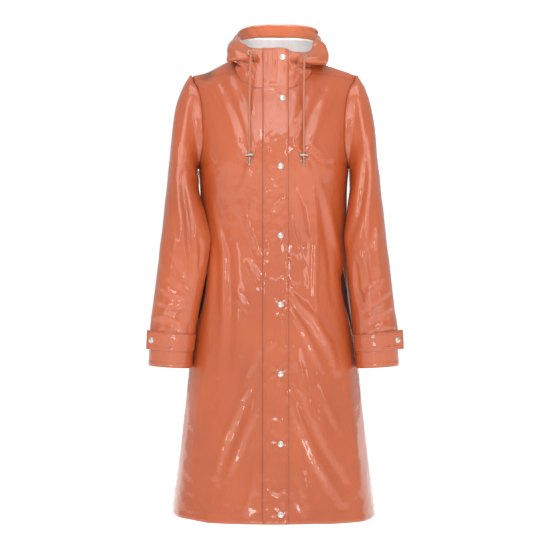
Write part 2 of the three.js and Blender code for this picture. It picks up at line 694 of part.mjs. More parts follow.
add("hood_side_left", wallOf(hoodLeft.grid, clothWall, { flip: true, normals: hoodLeft.normals }));
add("hood_centre", wallOf(hoodCentre.grid, clothWall, { flip: true, normals: hoodCentre.normals }));
add("hood_side_right", wallOf(hoodRight.grid, clothWall, { flip: true, normals: hoodRight.normals }));

// Facing and lining lie against the hood's inside, from the left edge at the centre front to the right one.
const insideOut = -(clothWall / 2 + layerGap + liningWall / 2);
const liningOut = insideOut - 1.35;
const lastInside = hoodTurns.indexOf(21);
const lining = hoodPart(0, lastInside, 0, liningSteps);
lining.grid[0].forEach((p, u) => p.lerp(lining.grid[1][u], 0.4));
lining.grid[liningSteps].forEach((p, u) => p.lerp(lining.grid[liningSteps - 1][u], 0.05));
const facing = hoodPart(0, lastInside, liningSteps, liningSteps + facingSteps);
add(
  "hood_lining",
  wallOf(lining.grid, liningWall, { out: liningOut, flip: true, normals: lining.normals }),
  liningColour,
);
add("hood_facing", wallOf(facing.grid, liningWall, { out: insideOut, flip: true, normals: facing.normals }));

// A spot on a grid's cell, and the direction out of the cell.
function spotOn(grid, v, u, flip) {
  const row = Math.floor(v);
  const column = Math.floor(u);
  const low = grid[row][column].clone().lerp(grid[row][column + 1], u - column);
  const high = grid[row + 1][column].clone().lerp(grid[row + 1][column + 1], u - column);
  const across = grid[row][column + 1].clone().sub(grid[row][column]);
  const up = grid[row + 1][column].clone().sub(grid[row][column]);
  const normal = across.cross(up).normalize();
  if (flip) normal.negate();
  return { spot: low.lerp(high, v - row), normal };
}

// The storm flap lies over the meeting edges of the fronts and of the hood's stand.
function flapGrid() {
  const columns = [flapLeftX, 0, 21, flapRightX];
  const rows = [];
  for (const z of lowHeights(bodyRowSteps)) {
    rows.push(columns.map((x) => ringPoint(turnOf(x, torso(z, "half")) * Math.sign(x), z)));
  }
  for (const row of frontTopRows.filter((one) => one.neck === 0)) {
    rows.push(columns.map((x) => bodyPoint(x, row.inRise, false)));
  }
  for (const v of [0.25, 2, 4, 6, 8, 10, 12]) {
    const stand = hoodGrid[Math.floor(v)].map((p, u) =>
      p.clone().lerp(hoodGrid[Math.ceil(v)][u], v - Math.floor(v)),
    );
    rows.push(
      columns.map((x) => {
        const u = stand.findIndex((p, i) => i > leftTurns.length && i < stand.length - 1 && p.x >= x && stand[i + 1].x <= x);
        if (u < 0) return stand[stand.length - 1].clone().setX(x);
        const spot = stand[u].clone().lerp(stand[u + 1], (x - stand[u].x) / (stand[u + 1].x - stand[u].x));
        spot.y -= v > 7 && x > 0 ? standTrim : 0;
        return spot;
      }),
    );
  }
  return rows;
}

const flapOut = clothWall / 2 + flapGap + flapWall / 2;
const flap = flapGrid();
add("placket", wallOf(flap, flapWall, { out: flapOut }));

// The place and direction of a spot on the flap's outside.
function onFlap(x, z) {
  const edges = [flapLeftX, 0, 21, flapRightX];
  const column = edges.findIndex((edge, i) => x < edges[i + 1]);
  let row = 0;
  while (row < flap.length - 2 && flap[row + 1][column].z < z) row += 1;
  const u = column + (x - edges[column]) / (edges[column + 1] - edges[column]);
  const v = row + (z - flap[row][column].z) / (flap[row + 1][column].z - flap[row][column].z);
  const { spot, normal } = spotOn(flap, v, u, false);
  return { spot: spot.addScaledVector(normal, flapOut + flapWall / 2 + layerGap), normal };
}

// A snap's cap: a low dome with a rolled edge.
function snapCap() {
  const profile = [
    new THREE.Vector2(0, 0),
    new THREE.Vector2(snapRadius * 0.96, 0),
    new THREE.Vector2(snapRadius, snapHeight * 0.3),
    new THREE.Vector2(snapRadius * 0.8, snapHeight * 0.7),
    new THREE.Vector2(0, snapHeight),
  ];
  return new THREE.LatheGeometry(profile, 18);
}

function place(geometry, spot, normal) {
  const turn = new THREE.Quaternion().setFromUnitVectors(new THREE.Vector3(0, 1, 0), normal);
  return geometry.applyQuaternion(turn).translate(spot.x, spot.y, spot.z);
}

for (let i = 0; i < snapCount; i += 1) {
  const z = i === 0 ? collarSnapZ : firstSnapZ - snapPitch * (i - 1);
  const { spot, normal } = onFlap(i < 2 ? topSnapX : snapX, z);
  add("snap_" + (i + 1), place(snapCap(), spot, normal), metalColour);
}

// The free end of a strap is straight: its snap sits in the middle of the last but one length.
for (const [name, grid] of Object.entries(straps)) {
  const { spot, normal } = spotOn(grid, 1.5, grid[0].length - 1.75, name === "left");
  spot.addScaledVector(normal, strapOut + clothWall / 2 + layerGap);
  add("cuff_snap_" + name, place(snapCap(), spot, normal), metalColour);
}

// The drawcord leaves the hood's edge through an eyelet on each side and hangs over the chest.
const cordRoutes = {
  left: { row: 11.1, turn: 2.8, endX: -53.5, rollY: -112 },
  right: { row: 11.1, turn: 18.6, endX: 67, rollY: -110 },
};
const cordLeaves = [1.3, 3.7, 6.1];
const cordBendOut = 9;
const cordBendDrop = 2.6;
const cordFall = 8;
const cordSteps = 9;
const cordLowestRollZ = -50;
const cordChestGap = 1;
const barTilt = 0.05;
const barForward = 1.5;

function eyeletRing() {
  const half = eyeletThick / 2;
  const profile = [
    new THREE.Vector2(eyeletInner, -half),
    new THREE.Vector2(eyeletOuter, -half),
    new THREE.Vector2(eyeletOuter * 0.95, half * 0.4),
    new THREE.Vector2((eyeletInner + eyeletOuter) / 2, half),
    new THREE.Vector2(eyeletInner, half * 0.2),
    new THREE.Vector2(eyeletInner, -half),
  ];
  return new THREE.LatheGeometry(profile, 18);
}

for (const [name, route] of Object.entries(cordRoutes)) {
  const side = name === "left" ? -1 : 1;
  const column = hoodTurns.findIndex((turn, i) => hoodTurns[i + 1] > route.turn);
  const { spot, normal } = spotOn(hoodGrid, route.row, column + route.turn - hoodTurns[column], true);
  const skin = clothWall / 2;
  const seat = spot.clone().addScaledVector(normal, skin + eyeletGap + eyeletThick / 2);
  add("eyelet_" + name, place(eyeletRing(), seat, normal), metalColour);

  const points = cordLeaves.map((out) => spot.clone().addScaledVector(normal, skin + out));
  const bend = spot.clone().addScaledVector(normal, skin + cordBendOut);
  bend.z -= cordBendDrop;
  points.push(bend);
  for (let i = 0; i <= cordSteps; i += 1) {
    const z = mix(bend.z - cordFall, cordEndZ, i / cordSteps);
    const x = mix(bend.x, route.endX, Math.min(1, (i + 1) / 5));
    const chest = surfaceY(x, z, false) - skin - layerGap - cordRadius - cordChestGap;
    const hang = mix(bend.y - 2, route.rollY, Math.min(1, (i + 0.5) / 1.5));
    points.push(new THREE.Vector3(x, z > cordLowestRollZ ? Math.min(hang, route.rollY + 3) : Math.min(chest, route.rollY), z));
  }
  const path = new THREE.CatmullRomCurve3(points, false, "centripetal");
  const disc = new THREE.Shape();
  disc.absarc(0, 0, cordRadius, 0, Math.PI * 2, false);
  const tube = new THREE.ExtrudeGeometry(disc, { steps: 30, curveSegments: 4, bevelEnabled: false, extrudePath: path });
  add("cord_" + name, tube);

  const end = path.getPoint(1);
  const bar = new THREE.CylinderGeometry(toggleBarRadius, toggleBarRadius, toggleBarLength, 16);
  bar.rotateZ(Math.PI / 2 - side * barTilt);
  const barY = end.y - barForward;
  const barZ = end.z - toggleBarRadius - layerGap;
  bar.translate(end.x, barY, barZ);
  add("toggle_bar_" + name, bar, metalColour);
  const tip = new THREE.CylinderGeometry(toggleTipRadius * 0.9, toggleTipRadius, toggleTipLength, 16);
  tip.rotateX(Math.PI / 2);
  tip.translate(end.x, barY, barZ - toggleBarRadius - layerGap - toggleTipLength / 2);
  add("toggle_tip_" + name, tip, metalColour);
}

// A pocket bag hangs behind the slit in each side seam, against the inside of the front.
const bagTopZ = -440;
const bagBottomZ = -690;
const bagReach = 26;
const bagBelly = 14;
const bagPastSeam = 3;
const bagOut = -(clothWall / 2 + bagGap + liningWall / 2);
function bagGrid(side) {
  const rows = 8;
  const columns = 8;
  return Array.from({ length: rows + 1 }, (_, v) => {
    const z = mix(bagBottomZ, bagTopZ, v / rows);
    const seam = along(sideSeamRows, "z", "turn", z);
    const reach = bagReach + bagBelly * Math.sin((1 - v / rows) * Math.PI * 0.55);
    return Array.from({ length: columns + 1 }, (_, u) => ringPoint(side * mix(seam - reach, seam + bagPastSeam, u / columns), z));
  });
}

add("pocket_bag_left", wallOf(bagGrid(-1), liningWall, { out: bagOut, flip: true }));
add("pocket_bag_right", wallOf(bagGrid(1), liningWall, { out: bagOut }));

export default coat;
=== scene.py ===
import math

import bpy
import numpy as np
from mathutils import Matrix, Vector


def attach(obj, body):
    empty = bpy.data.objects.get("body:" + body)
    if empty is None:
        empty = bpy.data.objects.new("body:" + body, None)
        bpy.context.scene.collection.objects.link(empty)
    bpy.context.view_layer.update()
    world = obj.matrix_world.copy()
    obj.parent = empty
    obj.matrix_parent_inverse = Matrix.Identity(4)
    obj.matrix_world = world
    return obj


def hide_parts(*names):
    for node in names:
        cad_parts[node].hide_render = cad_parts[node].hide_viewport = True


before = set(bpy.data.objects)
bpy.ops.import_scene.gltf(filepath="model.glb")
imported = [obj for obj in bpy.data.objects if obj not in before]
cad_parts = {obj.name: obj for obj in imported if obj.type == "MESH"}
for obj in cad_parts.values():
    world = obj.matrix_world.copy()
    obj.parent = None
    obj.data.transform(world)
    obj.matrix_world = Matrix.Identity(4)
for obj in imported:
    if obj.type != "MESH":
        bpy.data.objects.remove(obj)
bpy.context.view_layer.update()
scene = bpy.context.scene
metre = 0.001
degree = math.pi / 180


# Camera: straight at the front, as the photograph was taken.
def makeCamera(x, distance, height, lens):
    data = bpy.data.cameras.new("camera")
    data.lens = lens
    data.sensor_width = 36
    data.dof.use_dof = False
    data.clip_end = 60
    camera = bpy.data.objects.new("camera", data)
    camera.location = (x, -distance, height)
    camera.rotation_euler = (math.pi / 2, 0, 0)
    scene.collection.objects.link(camera)
    scene.camera = camera


cameraValues = {"x": 0.003, "distance": 3.5, "height": -0.476, "lens": 99.5}
makeCamera(**cameraValues)

# The coat's form in millimetres, by the same tables and rules as its solids.
clothWall = 1.6
flapWall = 2.4
flapGap = 0.5
bagGap = 1.1
liningWall = 1.2
layerGap = 0.35
seamGapDegrees = 0.1
neckGap = 0.8
hoodClearance = 6.3
hemZ = -1024
chestZ = -215
underarmZ = -232
ringBend = 2.3
archPower = 0.833
flapLeftX = -24.5
flapRightX = 33
snapX = 15.5
cordRadius = 2.4
bodyRowSteps = 22
drapePower = 1.3
chestEase = 4
neckTrim = 1.6
yokeTrim = 0.35
yokeReach = 0.994
armholeOut = (1.7, 3.2)
armholeTurnIn = (1.9, 3.3)
sleevePower = 0.9
sleeveClearance = 3
strapReach = {-1: 4, 1: 10}
pocketLowZ = -650
pocketHighZ = -450


def tableOf(names, *rows):
    keys = names.split()
    return {key: np.array([row[i] for row in rows], float) for i, key in enumerate(keys)}


torsoRows = tableOf(
    "z half front back",
    (-1024, 231, 165, 165),
    (-860, 211.5, 150, 148),
    (-704, 195, 138, 135),
    (-623, 187, 134, 131),
    (-540, 178, 128, 124),
    (-455, 171, 118, 111),
    (-400, 168.5, 113, 104),
    (-300, 168, 117, 106),
    (-215, 172, 124, 110),
    (-105, 182, 120, 110),
    (-30, 190, 114, 108),
    (60, 196, 110, 106),
)
ridgeRows = tableOf("x z", (0, 52), (72, 26), (110, 11.5), (142, 0), (182, -15), (205, -26))
neckRows = tableOf(
    "at x arch lift",
    (0, 0, 33, 0.4),
    (1, 21, 33, 0.6),
    (2, 38, 33.9, 0.8),
    (3, 56, 38.3, 0.8),
    (4, 75, 45, 0.5),
    (5, 84, 53, 1.6),
    (6, 86, 72, 1.8),
    (7, 83, 90, 1.8),
    (8, 74, 104, 2.2),
    (9, 58, 116, 2.6),
    (10, 32, 123, 2.8),
    (11, 0, 125, 2.8),
)
sideSeamRows = tableOf(
    "z turn gapeLeft gapeRight",
    (-1024, 90, 0, 0),
    (-860, 89.5, 0, 0),
    (-704, 86, 0, 0),
    (-628, 79, 0, 0),
    (-590, 76.5, 3.5, 6.5),
    (-545, 73.5, 5, 11),
    (-500, 70.8, 4, 8.5),
    (-462, 68.3, 0, 0),
    (-398, 63, 0, 0),
    (-330, 70, 0, 0),
    (-280, 80, 0, 0),
    (-232, 90, 0, 0),
)
# Rows above the underarm: (place on the neck, inner rise, outer x, outer rise).
frontTopRows = [
    (0, -9, 167.5, -8),
    (0, 1.2, 164, 1),
    (0, 5, 160.5, 5),
    (0, 11, 159.5, 12),
    (0, 17.5, 160, 20),
    (0, 24.5, 161.5, 28),
    (1, 0, 164, 36),
    (2, 0, 168, 43.5),
    (3, 0, 173, 51),
    (4, 0, 179, 58),
    (5, 0, 184, 65),
]
# (rise at the centre back, outer x, outer rise)
backTopRows = [
    (-9, 167.5, -8),
    (1, 164, 1),
    (4.5, 161, 5),
    (10, 160, 12),
    (15, 160.5, 20),
    (20, 162, 28),
    (25, 164, 36),
]
# (place on the neck, outer x, outer arch)
yokeRows = [
    (5, 184, 65),
    (5.5, 186, 73),
    (6, 187, 81),
    (6.5, 187, 90),
    (7, 185.5, 99),
    (7.5, 182, 109),
    (8, 177, 120),
    (8.5, 170.5, 132),
    (9, 164, 144),
    (9.5, 128, 147.5),
    (10, 88, 151),
    (10.5, 44, 154),
    (11, 0, 155),
]
sleeveRows = tableOf(
    "at outX outZ inLeft inRight inZ midY deep",
    (1, 199, -27, 171, 171, -238, -3, 61),
    (2, 210, -48, 172, 173, -245, -5, 64),
    (3, 220, -78, 171, 174, -254, -8, 66),
    (4, 227, -113, 169, 174, -265, -13, 67),
    (5, 232, -155, 170, 174, -278, -19, 67),
    (6, 236, -198, 167, 172, -294, -26, 66),
    (7, 240, -240, 161, 169, -312, -34, 64),
    (8, 243, -282, 153, 166, -335, -42, 62),
    (9, 247, -322, 146, 162, -362, -50, 60),
    (10, 251, -364, 139, 159, -393, -57, 58),
    (11, 256, -408, 143, 163, -428, -61, 57),
    (12, 261, -452, 150, 166, -468, -64, 55),
    (13, 266, -498, 159, 170, -512, -65, 53),
    (14, 272, -544, 168, 175, -556, -65, 50),
    (15, 278, -592, 175, 180, -602, -64, 48),
    (16, 281, -640, 181, 184, -647, -63, 46),
    (17, 283, -680, 185, 187, -686, -62, 45),
)
rimRows = tableOf(
    "at xLeft xRight y zLeft zRight",
    (0, 0, 0, -88, 33, 33),
    (1, 21, 21, -88, 33, 33),
    (2, 38, 40, -86, 33, 27),
    (3, 54, 66, -80, 36, 25),
    (4, 70, 84, -64, 48, 36),
    (5, 79, 92, -38, 63, 60),
    (6, 83, 99, -12, 72, 74),
    (7, 84, 104, 16, 81, 83),
    (8, 80, 102, 44, 92, 93),
    (9, 64, 90, 68, 105, 105),
    (10, 32, 56, 84, 113, 113),
    (11, -14, 14, 91, 115, 115),
)
hoodRows = tableOf(
    "at heading out1 up1 out2 up2 out3 up3 out4 up4 up4Right",
    (0, 0, -2, 18, -5, 40, -8, 60, -11, 78, 78),
    (2, 10, -2, 18, -4, 40, -5, 57, -8, 74, 70),
    (3, 30, -1, 18, -2, 38, 9, 43, 10, 64, 55),
    (4, 58, 0, 18, 2, 33, 21, 34, 26, 58, 50),
    (5, 75, 3, 14, 9, 24, 27, 23, 33, 48, 44),
    (6, 88, 8, 8, 17, 4, 29, 4, 33, 32, 32),
    (7, 96, 9, 3, 19, -3, 32, -6, 38, 24, 24),
    (8, 124, 14, -2, 28, -18, 44, -22, 54, 18, 18),
    (9, 150, 22, -16, 42, -74, 64, -80, 78, -4, -4),
    (10, 168, 28, -30, 50, -132, 78, -140, 92, -24, -24),
    (11, 180, 30, -36, 52, -152, 84, -162, 97, -36, -36),
)
drapeRows = [
    (-165, -430, 11, 7),
    (-128, -380, 9, 6),
    (-98, -500, 7, 5),
    (-62, -640, 6, 3),
    (-34, -480, 7, 4),
    (30, -560, 6, 3.5),
    (57, -420, 8, 4.5),
    (94, -520, 6, 4),
    (121, -400, 9, 6.5),
    (158, -470, 12, 7.5),
]


def along(rows, key, column, place):
    knots, values = rows[key], rows[column]
    place = np.clip(place, knots[0], knots[-1])
    i = np.clip(np.searchsorted(knots, place, side="left") - 1, 0, len(knots) - 2)
    before, after = np.maximum(i - 1, 0), np.minimum(i + 2, len(knots) - 1)
    span = knots[i + 1] - knots[i]
    t = (place - knots[i]) / span
    first = (values[i + 1] - values[before]) / (knots[i + 1] - knots[before]) * span
    second = (values[after] - values[i]) / (knots[after] - knots[i]) * span
    t2, t3 = t * t, t * t * t
    start = (2 * t3 - 3 * t2 + 1) * values[i] + (t3 - 2 * t2 + t) * first
    return start + (3 * t2 - 2 * t3) * values[i + 1] + (t3 - t2) * second


def mix(a, b, t):
    return a + (b - a) * t


def power(value, exponent):
    return np.sign(value) * np.abs(value) ** exponent


def torso(z, column):
    return along(torsoRows, "z", column, z)


def ridge(x):
    return along(ridgeRows, "x", "z", np.abs(x))


def drape(turn, z):
    total = 0.0
    for middle, top, wide, deep in drapeRows:
        away = (turn - middle + 540) % 360 - 180
        grow = np.maximum((top - z) / (top - hemZ), 0) ** drapePower
        total = total + deep * grow * np.exp(-((away / wide) ** 2))
    return total


def ringPoint(turn, z, out=0.0):
    half = torso(z, "half")
    forward = math.cos(turn * degree)
    depth = torso(z, "front" if forward > 0 else "back")
    x = half * power(math.sin(turn * degree), 2 / ringBend)
    y = -depth * power(forward, 2 / ringBend)
    normal = np.array([x / half**2, y / depth**2, 0])
    normal /= np.linalg.norm(normal)
    return np.array([x, y, z]) + normal * (out + drape(turn, z))


# How far out the body's ring is at x, against its depth.
def bulgeAt(x, z):
    return (1 - min(abs(x) / torso(z, "half"), 1) ** ringBend) ** (1 / ringBend)


# The other side of the chest's arch, for a share of its height or of its depth.
def archAt(share):
    return (1 - share ** (2 / archPower)) ** (archPower / 2)


def archPoint(x, arch):
    lift = math.sin(arch * degree) ** archPower
    z = chestZ + (ridge(x) - chestZ) * lift
    depth = torso(z, "front" if arch < 90 else "back")
    return np.array([x, -depth * bulgeAt(x, z) * power(math.cos(arch * degree), archPower), z])


def turnOf(x, half):
    return math.asin(min(abs(x) / half, 1) ** (ringBend / 2)) / degree


def signOf(x):
    return -1 if x < 0 else 1


def bodyPoint(x, rise, isBack):
    if rise > 0:
        return archPoint(x, 180 - rise if isBack else rise)
    z = chestZ + rise
    turn = turnOf(x, torso(z, "half")) * signOf(x)
    return ringPoint(signOf(x) * 180 - turn if isBack else turn, z)


def surfaceY(x, z, isBack):
    depth = torso(z, "back" if isBack else "front")
    climb = min(max((z - chestZ) / (ridge(x) - chestZ), 0), 1)
    return (1 if isBack else -1) * depth * bulgeAt(x, z) * archAt(climb)


def clearOfBody(point, clearance):
    x, y, z = point
    isBack = y > 0
    sign = 1 if isBack else -1
    if z < chestZ:
        half = torso(z, "half") + 2 * clearance
        depth = torso(z, "back" if isBack else "front") + 2 * clearance
        share = (abs(x) / half) ** ringBend + (abs(y) / depth) ** ringBend
        if share >= 1:
            return point
        grow = max(share, 0.2) ** (-1 / ringBend)
        return np.array([x * grow, y * grow, z])
    wanted = surfaceY(x, min(z, ridge(x)), isBack) + sign * clearance
    if z > ridge(x) + clearance or sign * (y - wanted) >= 0:
        return point
    reach = max(abs(surfaceY(x, chestZ, isBack)), 0.001)
    top = chestZ + (ridge(x) - chestZ) * archAt(min(abs(y) / reach, 1)) + clearance
    if top > z and top - z < abs(wanted - y):
        return np.array([x, y, top])
    return np.array([x, wanted, z])


# A smooth line through points, its parameter growing with the root of the distance.
class Line:
    def __init__(self, points, divisions=120):
        self.points = [np.array(p, float) for p in points]
        self.table = [self.point(i / divisions) for i in range(divisions + 1)]
        steps = [np.linalg.norm(b - a) for a, b in zip(self.table, self.table[1:])]
        self.lengths = np.concatenate([[0], np.cumsum(steps)])
        self.length = self.lengths[-1]

    def point(self, t):
        count = len(self.points)
        place = (count - 1) * t
        i = min(int(place), count - 2)
        w = place - i
        p1, p2 = self.points[i], self.points[i + 1]
        p0 = self.points[i - 1] if i > 0 else 2 * p1 - p2
        p3 = self.points[i + 2] if i + 2 < count else 2 * p2 - p1
        d0, d1, d2 = (max(np.linalg.norm(b - a), 1e-4) ** 0.5 for a, b in ((p0, p1), (p1, p2), (p2, p3)))
        m1 = ((p1 - p0) / d0 - (p2 - p0) / (d0 + d1) + (p2 - p1) / d1) * d1
        m2 = ((p2 - p1) / d1 - (p3 - p1) / (d1 + d2) + (p3 - p2) / d2) * d1
        c2 = -3 * p1 + 3 * p2 - 2 * m1 - m2
        c3 = 2 * p1 - 2 * p2 + m1 + m2
        return p1 + m1 * w + c2 * w * w + c3 * w**3

    def at(self, share):
        place = np.interp(share * self.length, self.lengths, np.linspace(0, 1, len(self.lengths)))
        return self.point(float(place))


def lowHeights():
    return [mix(hemZ, underarmZ, i / bodyRowSteps) for i in range(bodyRowSteps + 1)]


def neckPoint(at):
    x = signOf(at) * along(neckRows, "at", "x", abs(at))
    return archPoint(x, along(neckRows, "at", "arch", abs(at)))


def frontGrid(side, edgeX):
    columns = 11
    gape = "gapeLeft" if side < 0 else "gapeRight"
    grid = []
    for z in lowHeights():
        start = turnOf(edgeX, torso(z, "half")) * signOf(edgeX) / side
        slot = along(sideSeamRows, "z", gape, z) / torso(z, "front") / degree
        end = along(sideSeamRows, "z", "turn", z) - seamGapDegrees - max(slot, 0)
        grid.append([ringPoint(side * mix(start, end, u / columns), z) for u in range(columns + 1)])
    half = torso(chestZ, "half") + chestEase
    for neck, rise, outX, outRise in frontTopRows:
        inX = side * along(neckRows, "at", "x", neck) if neck > 1 else edgeX
        trim = neckTrim if neck == 1 and side > 0 else 0
        inRise = along(neckRows, "at", "arch", neck) - trim if neck > 0 else rise
        start = turnOf(inX, half) * signOf(inX) / side
        end = turnOf(min(outX, half), half)
        first, last = (power(math.sin(turn * degree), 2 / ringBend) for turn in (start, end))
        row = []
        for u in range(columns + 1):
            warp = power(math.sin(mix(start, end, u / columns) * degree), 2 / ringBend)
            share = (warp - first) / (last - first)
            x = side * (inX * side + (outX - inX * side) * share)
            row.append(bodyPoint(x, mix(inRise, outRise, share), False))
        grid.append(row)
    return np.array(grid)


def backGrid():
    columns = 20
    grid = []
    for z in lowHeights():
        end = 180 - along(sideSeamRows, "z", "turn", z) - seamGapDegrees
        grid.append([ringPoint(180 + mix(-end, end, u / columns), z) for u in range(columns + 1)])
    half = torso(chestZ, "half") + chestEase
    for midRise, outX, outRise in backTopRows:
        end = turnOf(outX, half)
        row = []
        for u in range(columns + 1):
            turn = mix(end, -end, u / columns)
            share = power(math.sin(turn * degree) / math.sin(end * degree), 2 / ringBend)
            row.append(bodyPoint(outX * share, mix(midRise, outRise, share * share), True))
        grid.append(row)
    return np.array(grid)


def yokeGrid():
    steps = 6
    left = [(neck, outX, arch, -1) for neck, outX, arch in yokeRows]
    right = [(neck, outX, arch, 1) for neck, outX, arch in yokeRows[-2::-1]]
    grid = []
    for v in range(steps + 1):
        share = mix(0, yokeReach, v / steps)
        row = []
        for neck, outX, arch, side in left + right:
            inX = along(neckRows, "at", "x", neck)
            inArch = along(neckRows, "at", "arch", neck)
            trim = yokeTrim if neck == 5 else 0
            row.append(archPoint(side * mix(inX, outX, share), mix(inArch, arch, share) + trim))
        grid.append(row)
    return np.array(grid)


def armholeEdge(isBack):
    rows = [row for row in yokeRows if row[1] > 160 and (row[2] >= 90 if isBack else row[2] <= 90)]
    yokePart = [archPoint(outX, arch) for neck, outX, arch in rows]
    if not isBack:
        yokePart.reverse()
    panel = [row[-2:] for row in (backTopRows if isBack else frontTopRows)]
    panelPart = [bodyPoint(outX, outRise, isBack) for outX, outRise in panel][::-1]
    return yokePart + panelPart[1:] + [ringPoint(90, underarmZ)]


def armholeRing(steps):
    front, back = (Line(armholeEdge(isBack), 200) for isBack in (False, True))
    halfSteps = steps // 2
    loop = [front.at(i / halfSteps) for i in range(halfSteps + 1)]
    loop += [back.at(i / halfSteps) for i in range(halfSteps - 1, 0, -1)]
    ring = []
    for i, point in enumerate(loop):
        low = max(0, -math.cos(i / steps * 2 * math.pi)) ** 2
        ring.append(point + np.array([mix(*armholeOut, low), 0, 0]))
    return ring


def sleeveRing(side, at, steps):
    value = {key: along(sleeveRows, "at", key, max(at, 1)) for key in sleeveRows}
    outer = np.array([value["outX"], value["midY"], value["outZ"]])
    inner = np.array([value["inLeft" if side < 0 else "inRight"], value["midY"], value["inZ"]])
    middle = (outer + inner) / 2
    ring = []
    for i in range(steps):
        turn = i / steps * 2 * math.pi
        point = middle + (outer - middle) * power(math.cos(turn), sleevePower)
        point = point + np.array([0, -value["deep"] * power(math.sin(turn), sleevePower), 0])
        ring.append(clearOfBody(point, sleeveClearance))
    return ring


def sleeveGrid(side, steps=40):
    first = armholeRing(steps)
    middle = sum(first) / steps
    turnedIn = [mix(p, middle, 0.012) - np.array([armholeTurnIn[p[2] < -150], 0, 0]) for p in first]
    rings = [turnedIn, first]
    for at in [1, 1.8, 2.6, 3.4, 4.2, 5] + list(range(6, 18)):
        keep = max(0, 1 - at / 3.2) ** 2 * 0.6
        rings.append([mix(p, q, keep) for p, q in zip(sleeveRing(side, at, steps), first)])
    return np.array(rings) * np.array([side, 1, 1])


def strapGrid(side):
    ringSteps = 72
    rows = []
    for v in range(4):
        ring = sleeveRing(side, mix(16.05, 15.15, v / 3), ringSteps)

        def spot(turn):
            place = turn % 360 / (360 / ringSteps)
            i = int(place)
            return mix(ring[i % ringSteps], ring[(i + 1) % ringSteps], place - i)

        points = [spot(mix(170, 58, u / 10)) for u in range(11)]
        end = points[-1]
        heading = end - points[-2]
        reach = (spot(0)[0] + strapReach[side] - end[0]) / heading[0]
        points += [end + heading * reach * share for share in (0.35, 0.7, 1)]
        rows.append(points)
    return np.array(rows) * np.array([side, 1, 1])


def hoodLine(at):
    side = -1 if at < 0 else 1
    place = abs(at)
    value = {key: along(hoodRows, "at", key, place) for key in hoodRows}
    seam = neckPoint(at) + np.array([0, 0, neckGap + along(neckRows, "at", "lift", place)])
    heading = value["heading"] * degree
    outward = np.array([side * math.sin(heading), -math.cos(heading), 0])
    points = [seam]
    for n in "1234":
        up = value["up4Right" if n == "4" and side > 0 else "up" + n]
        point = seam + outward * value["out" + n] + np.array([0, 0, up])
        points.append(clearOfBody(point, hoodClearance) if place > 3.5 else point)
    name = "Left" if side < 0 else "Right"
    x, y, z = (along(rimRows, "at", key, place) for key in ("x" + name, "y", "z" + name))
    points.append(np.array([side * x, y, z]))
    return Line(points)


sideSeamTurn = 9.75
leftTurns = [1, 2, 3, 4, 5, 5.5, 6, 6.5, 7, 7.5, 8, 8.5, 9, sideSeamTurn, 10.4]
hoodTurns = leftTurns + [11] + [22 - turn for turn in leftTurns[::-1]] + [22, 22.96]
liningSteps = 10
facingWidth = 30


def hoodColumn(turn):
    at = 22 - turn if turn > 11 else -turn
    line = hoodLine(at)
    facingStart = 1 - facingWidth / line.length
    shares = [facingStart * i / liningSteps for i in range(liningSteps)]
    shares += [mix(facingStart, 1, i / 2) for i in range(3)]
    column = [line.at(share) for share in shares]
    return [clearOfBody(p, hoodClearance) if i > 0 and abs(at) > 3.5 else p for i, p in enumerate(column)]


hoodGrid = np.array([hoodColumn(turn) for turn in hoodTurns]).transpose(1, 0, 2)


def flapGrid():
    columns = [flapLeftX, 0, 21, flapRightX]
    rows = []
    for z in lowHeights():
        rows.append([ringPoint(turnOf(x, torso(z, "half")) * signOf(x), z) for x in columns])
    for neck, rise, outX, outRise in frontTopRows:
        if neck == 0:
            rows.append([bodyPoint(x, rise, False) for x in columns])
    for v in [0.25, 2, 4, 6, 8, 10, 12]:
        stand = mix(hoodGrid[int(v)], hoodGrid[math.ceil(v)], v - int(v))
        row = []
        for x in columns:
            part = stand[[i for i, turn in enumerate(hoodTurns) if turn >= 18]][::-1]
            spot = np.array([np.interp(x, part[:, 0], part[:, axis]) for axis in range(3)])
            spot[0] = x
            spot[1] -= 1 if v > 7 and x > 0 else 0
            row.append(spot)
        rows.append(row)
    return np.array(rows)


def bagGrid(side):
    rows = []
    for v in range(9):
        z = mix(-690, -440, v / 8)
        seam = along(sideSeamRows, "z", "turn", z)
        reach = 26 + 14 * math.sin((1 - v / 8) * math.pi * 0.55)
        rows.append([ringPoint(side * mix(seam - reach, seam + 3, u / 8), z) for u in range(9)])
    return np.array(rows)


# Weights that carry rows at uneven knots over to evenly spread ones on a smooth curve.
def spread(knots, places, closed=False):
    count = len(knots)
    if closed:
        count -= 1
    weights = np.zeros((len(places), count))

    def step(i):
        if closed:
            i %= count
        return knots[i + 1] - knots[i] if 0 <= i < len(knots) - 1 else None

    def slope(i):
        ahead, behind = step(i), step(i - 1)
        row = np.zeros(count)
        a, b, c = (i - 1) % count, i % count, (i + 1) % count
        if ahead is None:
            row[b] += 1 / behind
            row[a] -= 1 / behind
        elif behind is None:
            row[c] += 1 / ahead
            row[b] -= 1 / ahead
        else:
            p, q = behind / (ahead + behind), ahead / (ahead + behind)
            row[c] += p / ahead
            row[b] += q / behind - p / ahead
            row[a] -= q / behind
        return row

    slopes = [slope(i) for i in range(len(knots))]
    for n, place in enumerate(places):
        i = min(int(np.searchsorted(knots, place, side="right")) - 1, len(knots) - 2)
        span = knots[i + 1] - knots[i]
        t = (place - knots[i]) / span
        t2, t3 = t * t, t**3
        weights[n] += (t3 - 2 * t2 + t) * span * slopes[i] + (t3 - t2) * span * slopes[i + 1]
        weights[n, i % count] += 2 * t3 - 3 * t2 + 1
        weights[n, (i + 1) % count] += 3 * t2 - 2 * t3
    return weights


def chordKnots(grid, axis):
    steps = np.linalg.norm(np.diff(grid, axis=axis), axis=2).mean(axis=1 - axis)
    return np.concatenate([[0], np.cumsum(steps)])


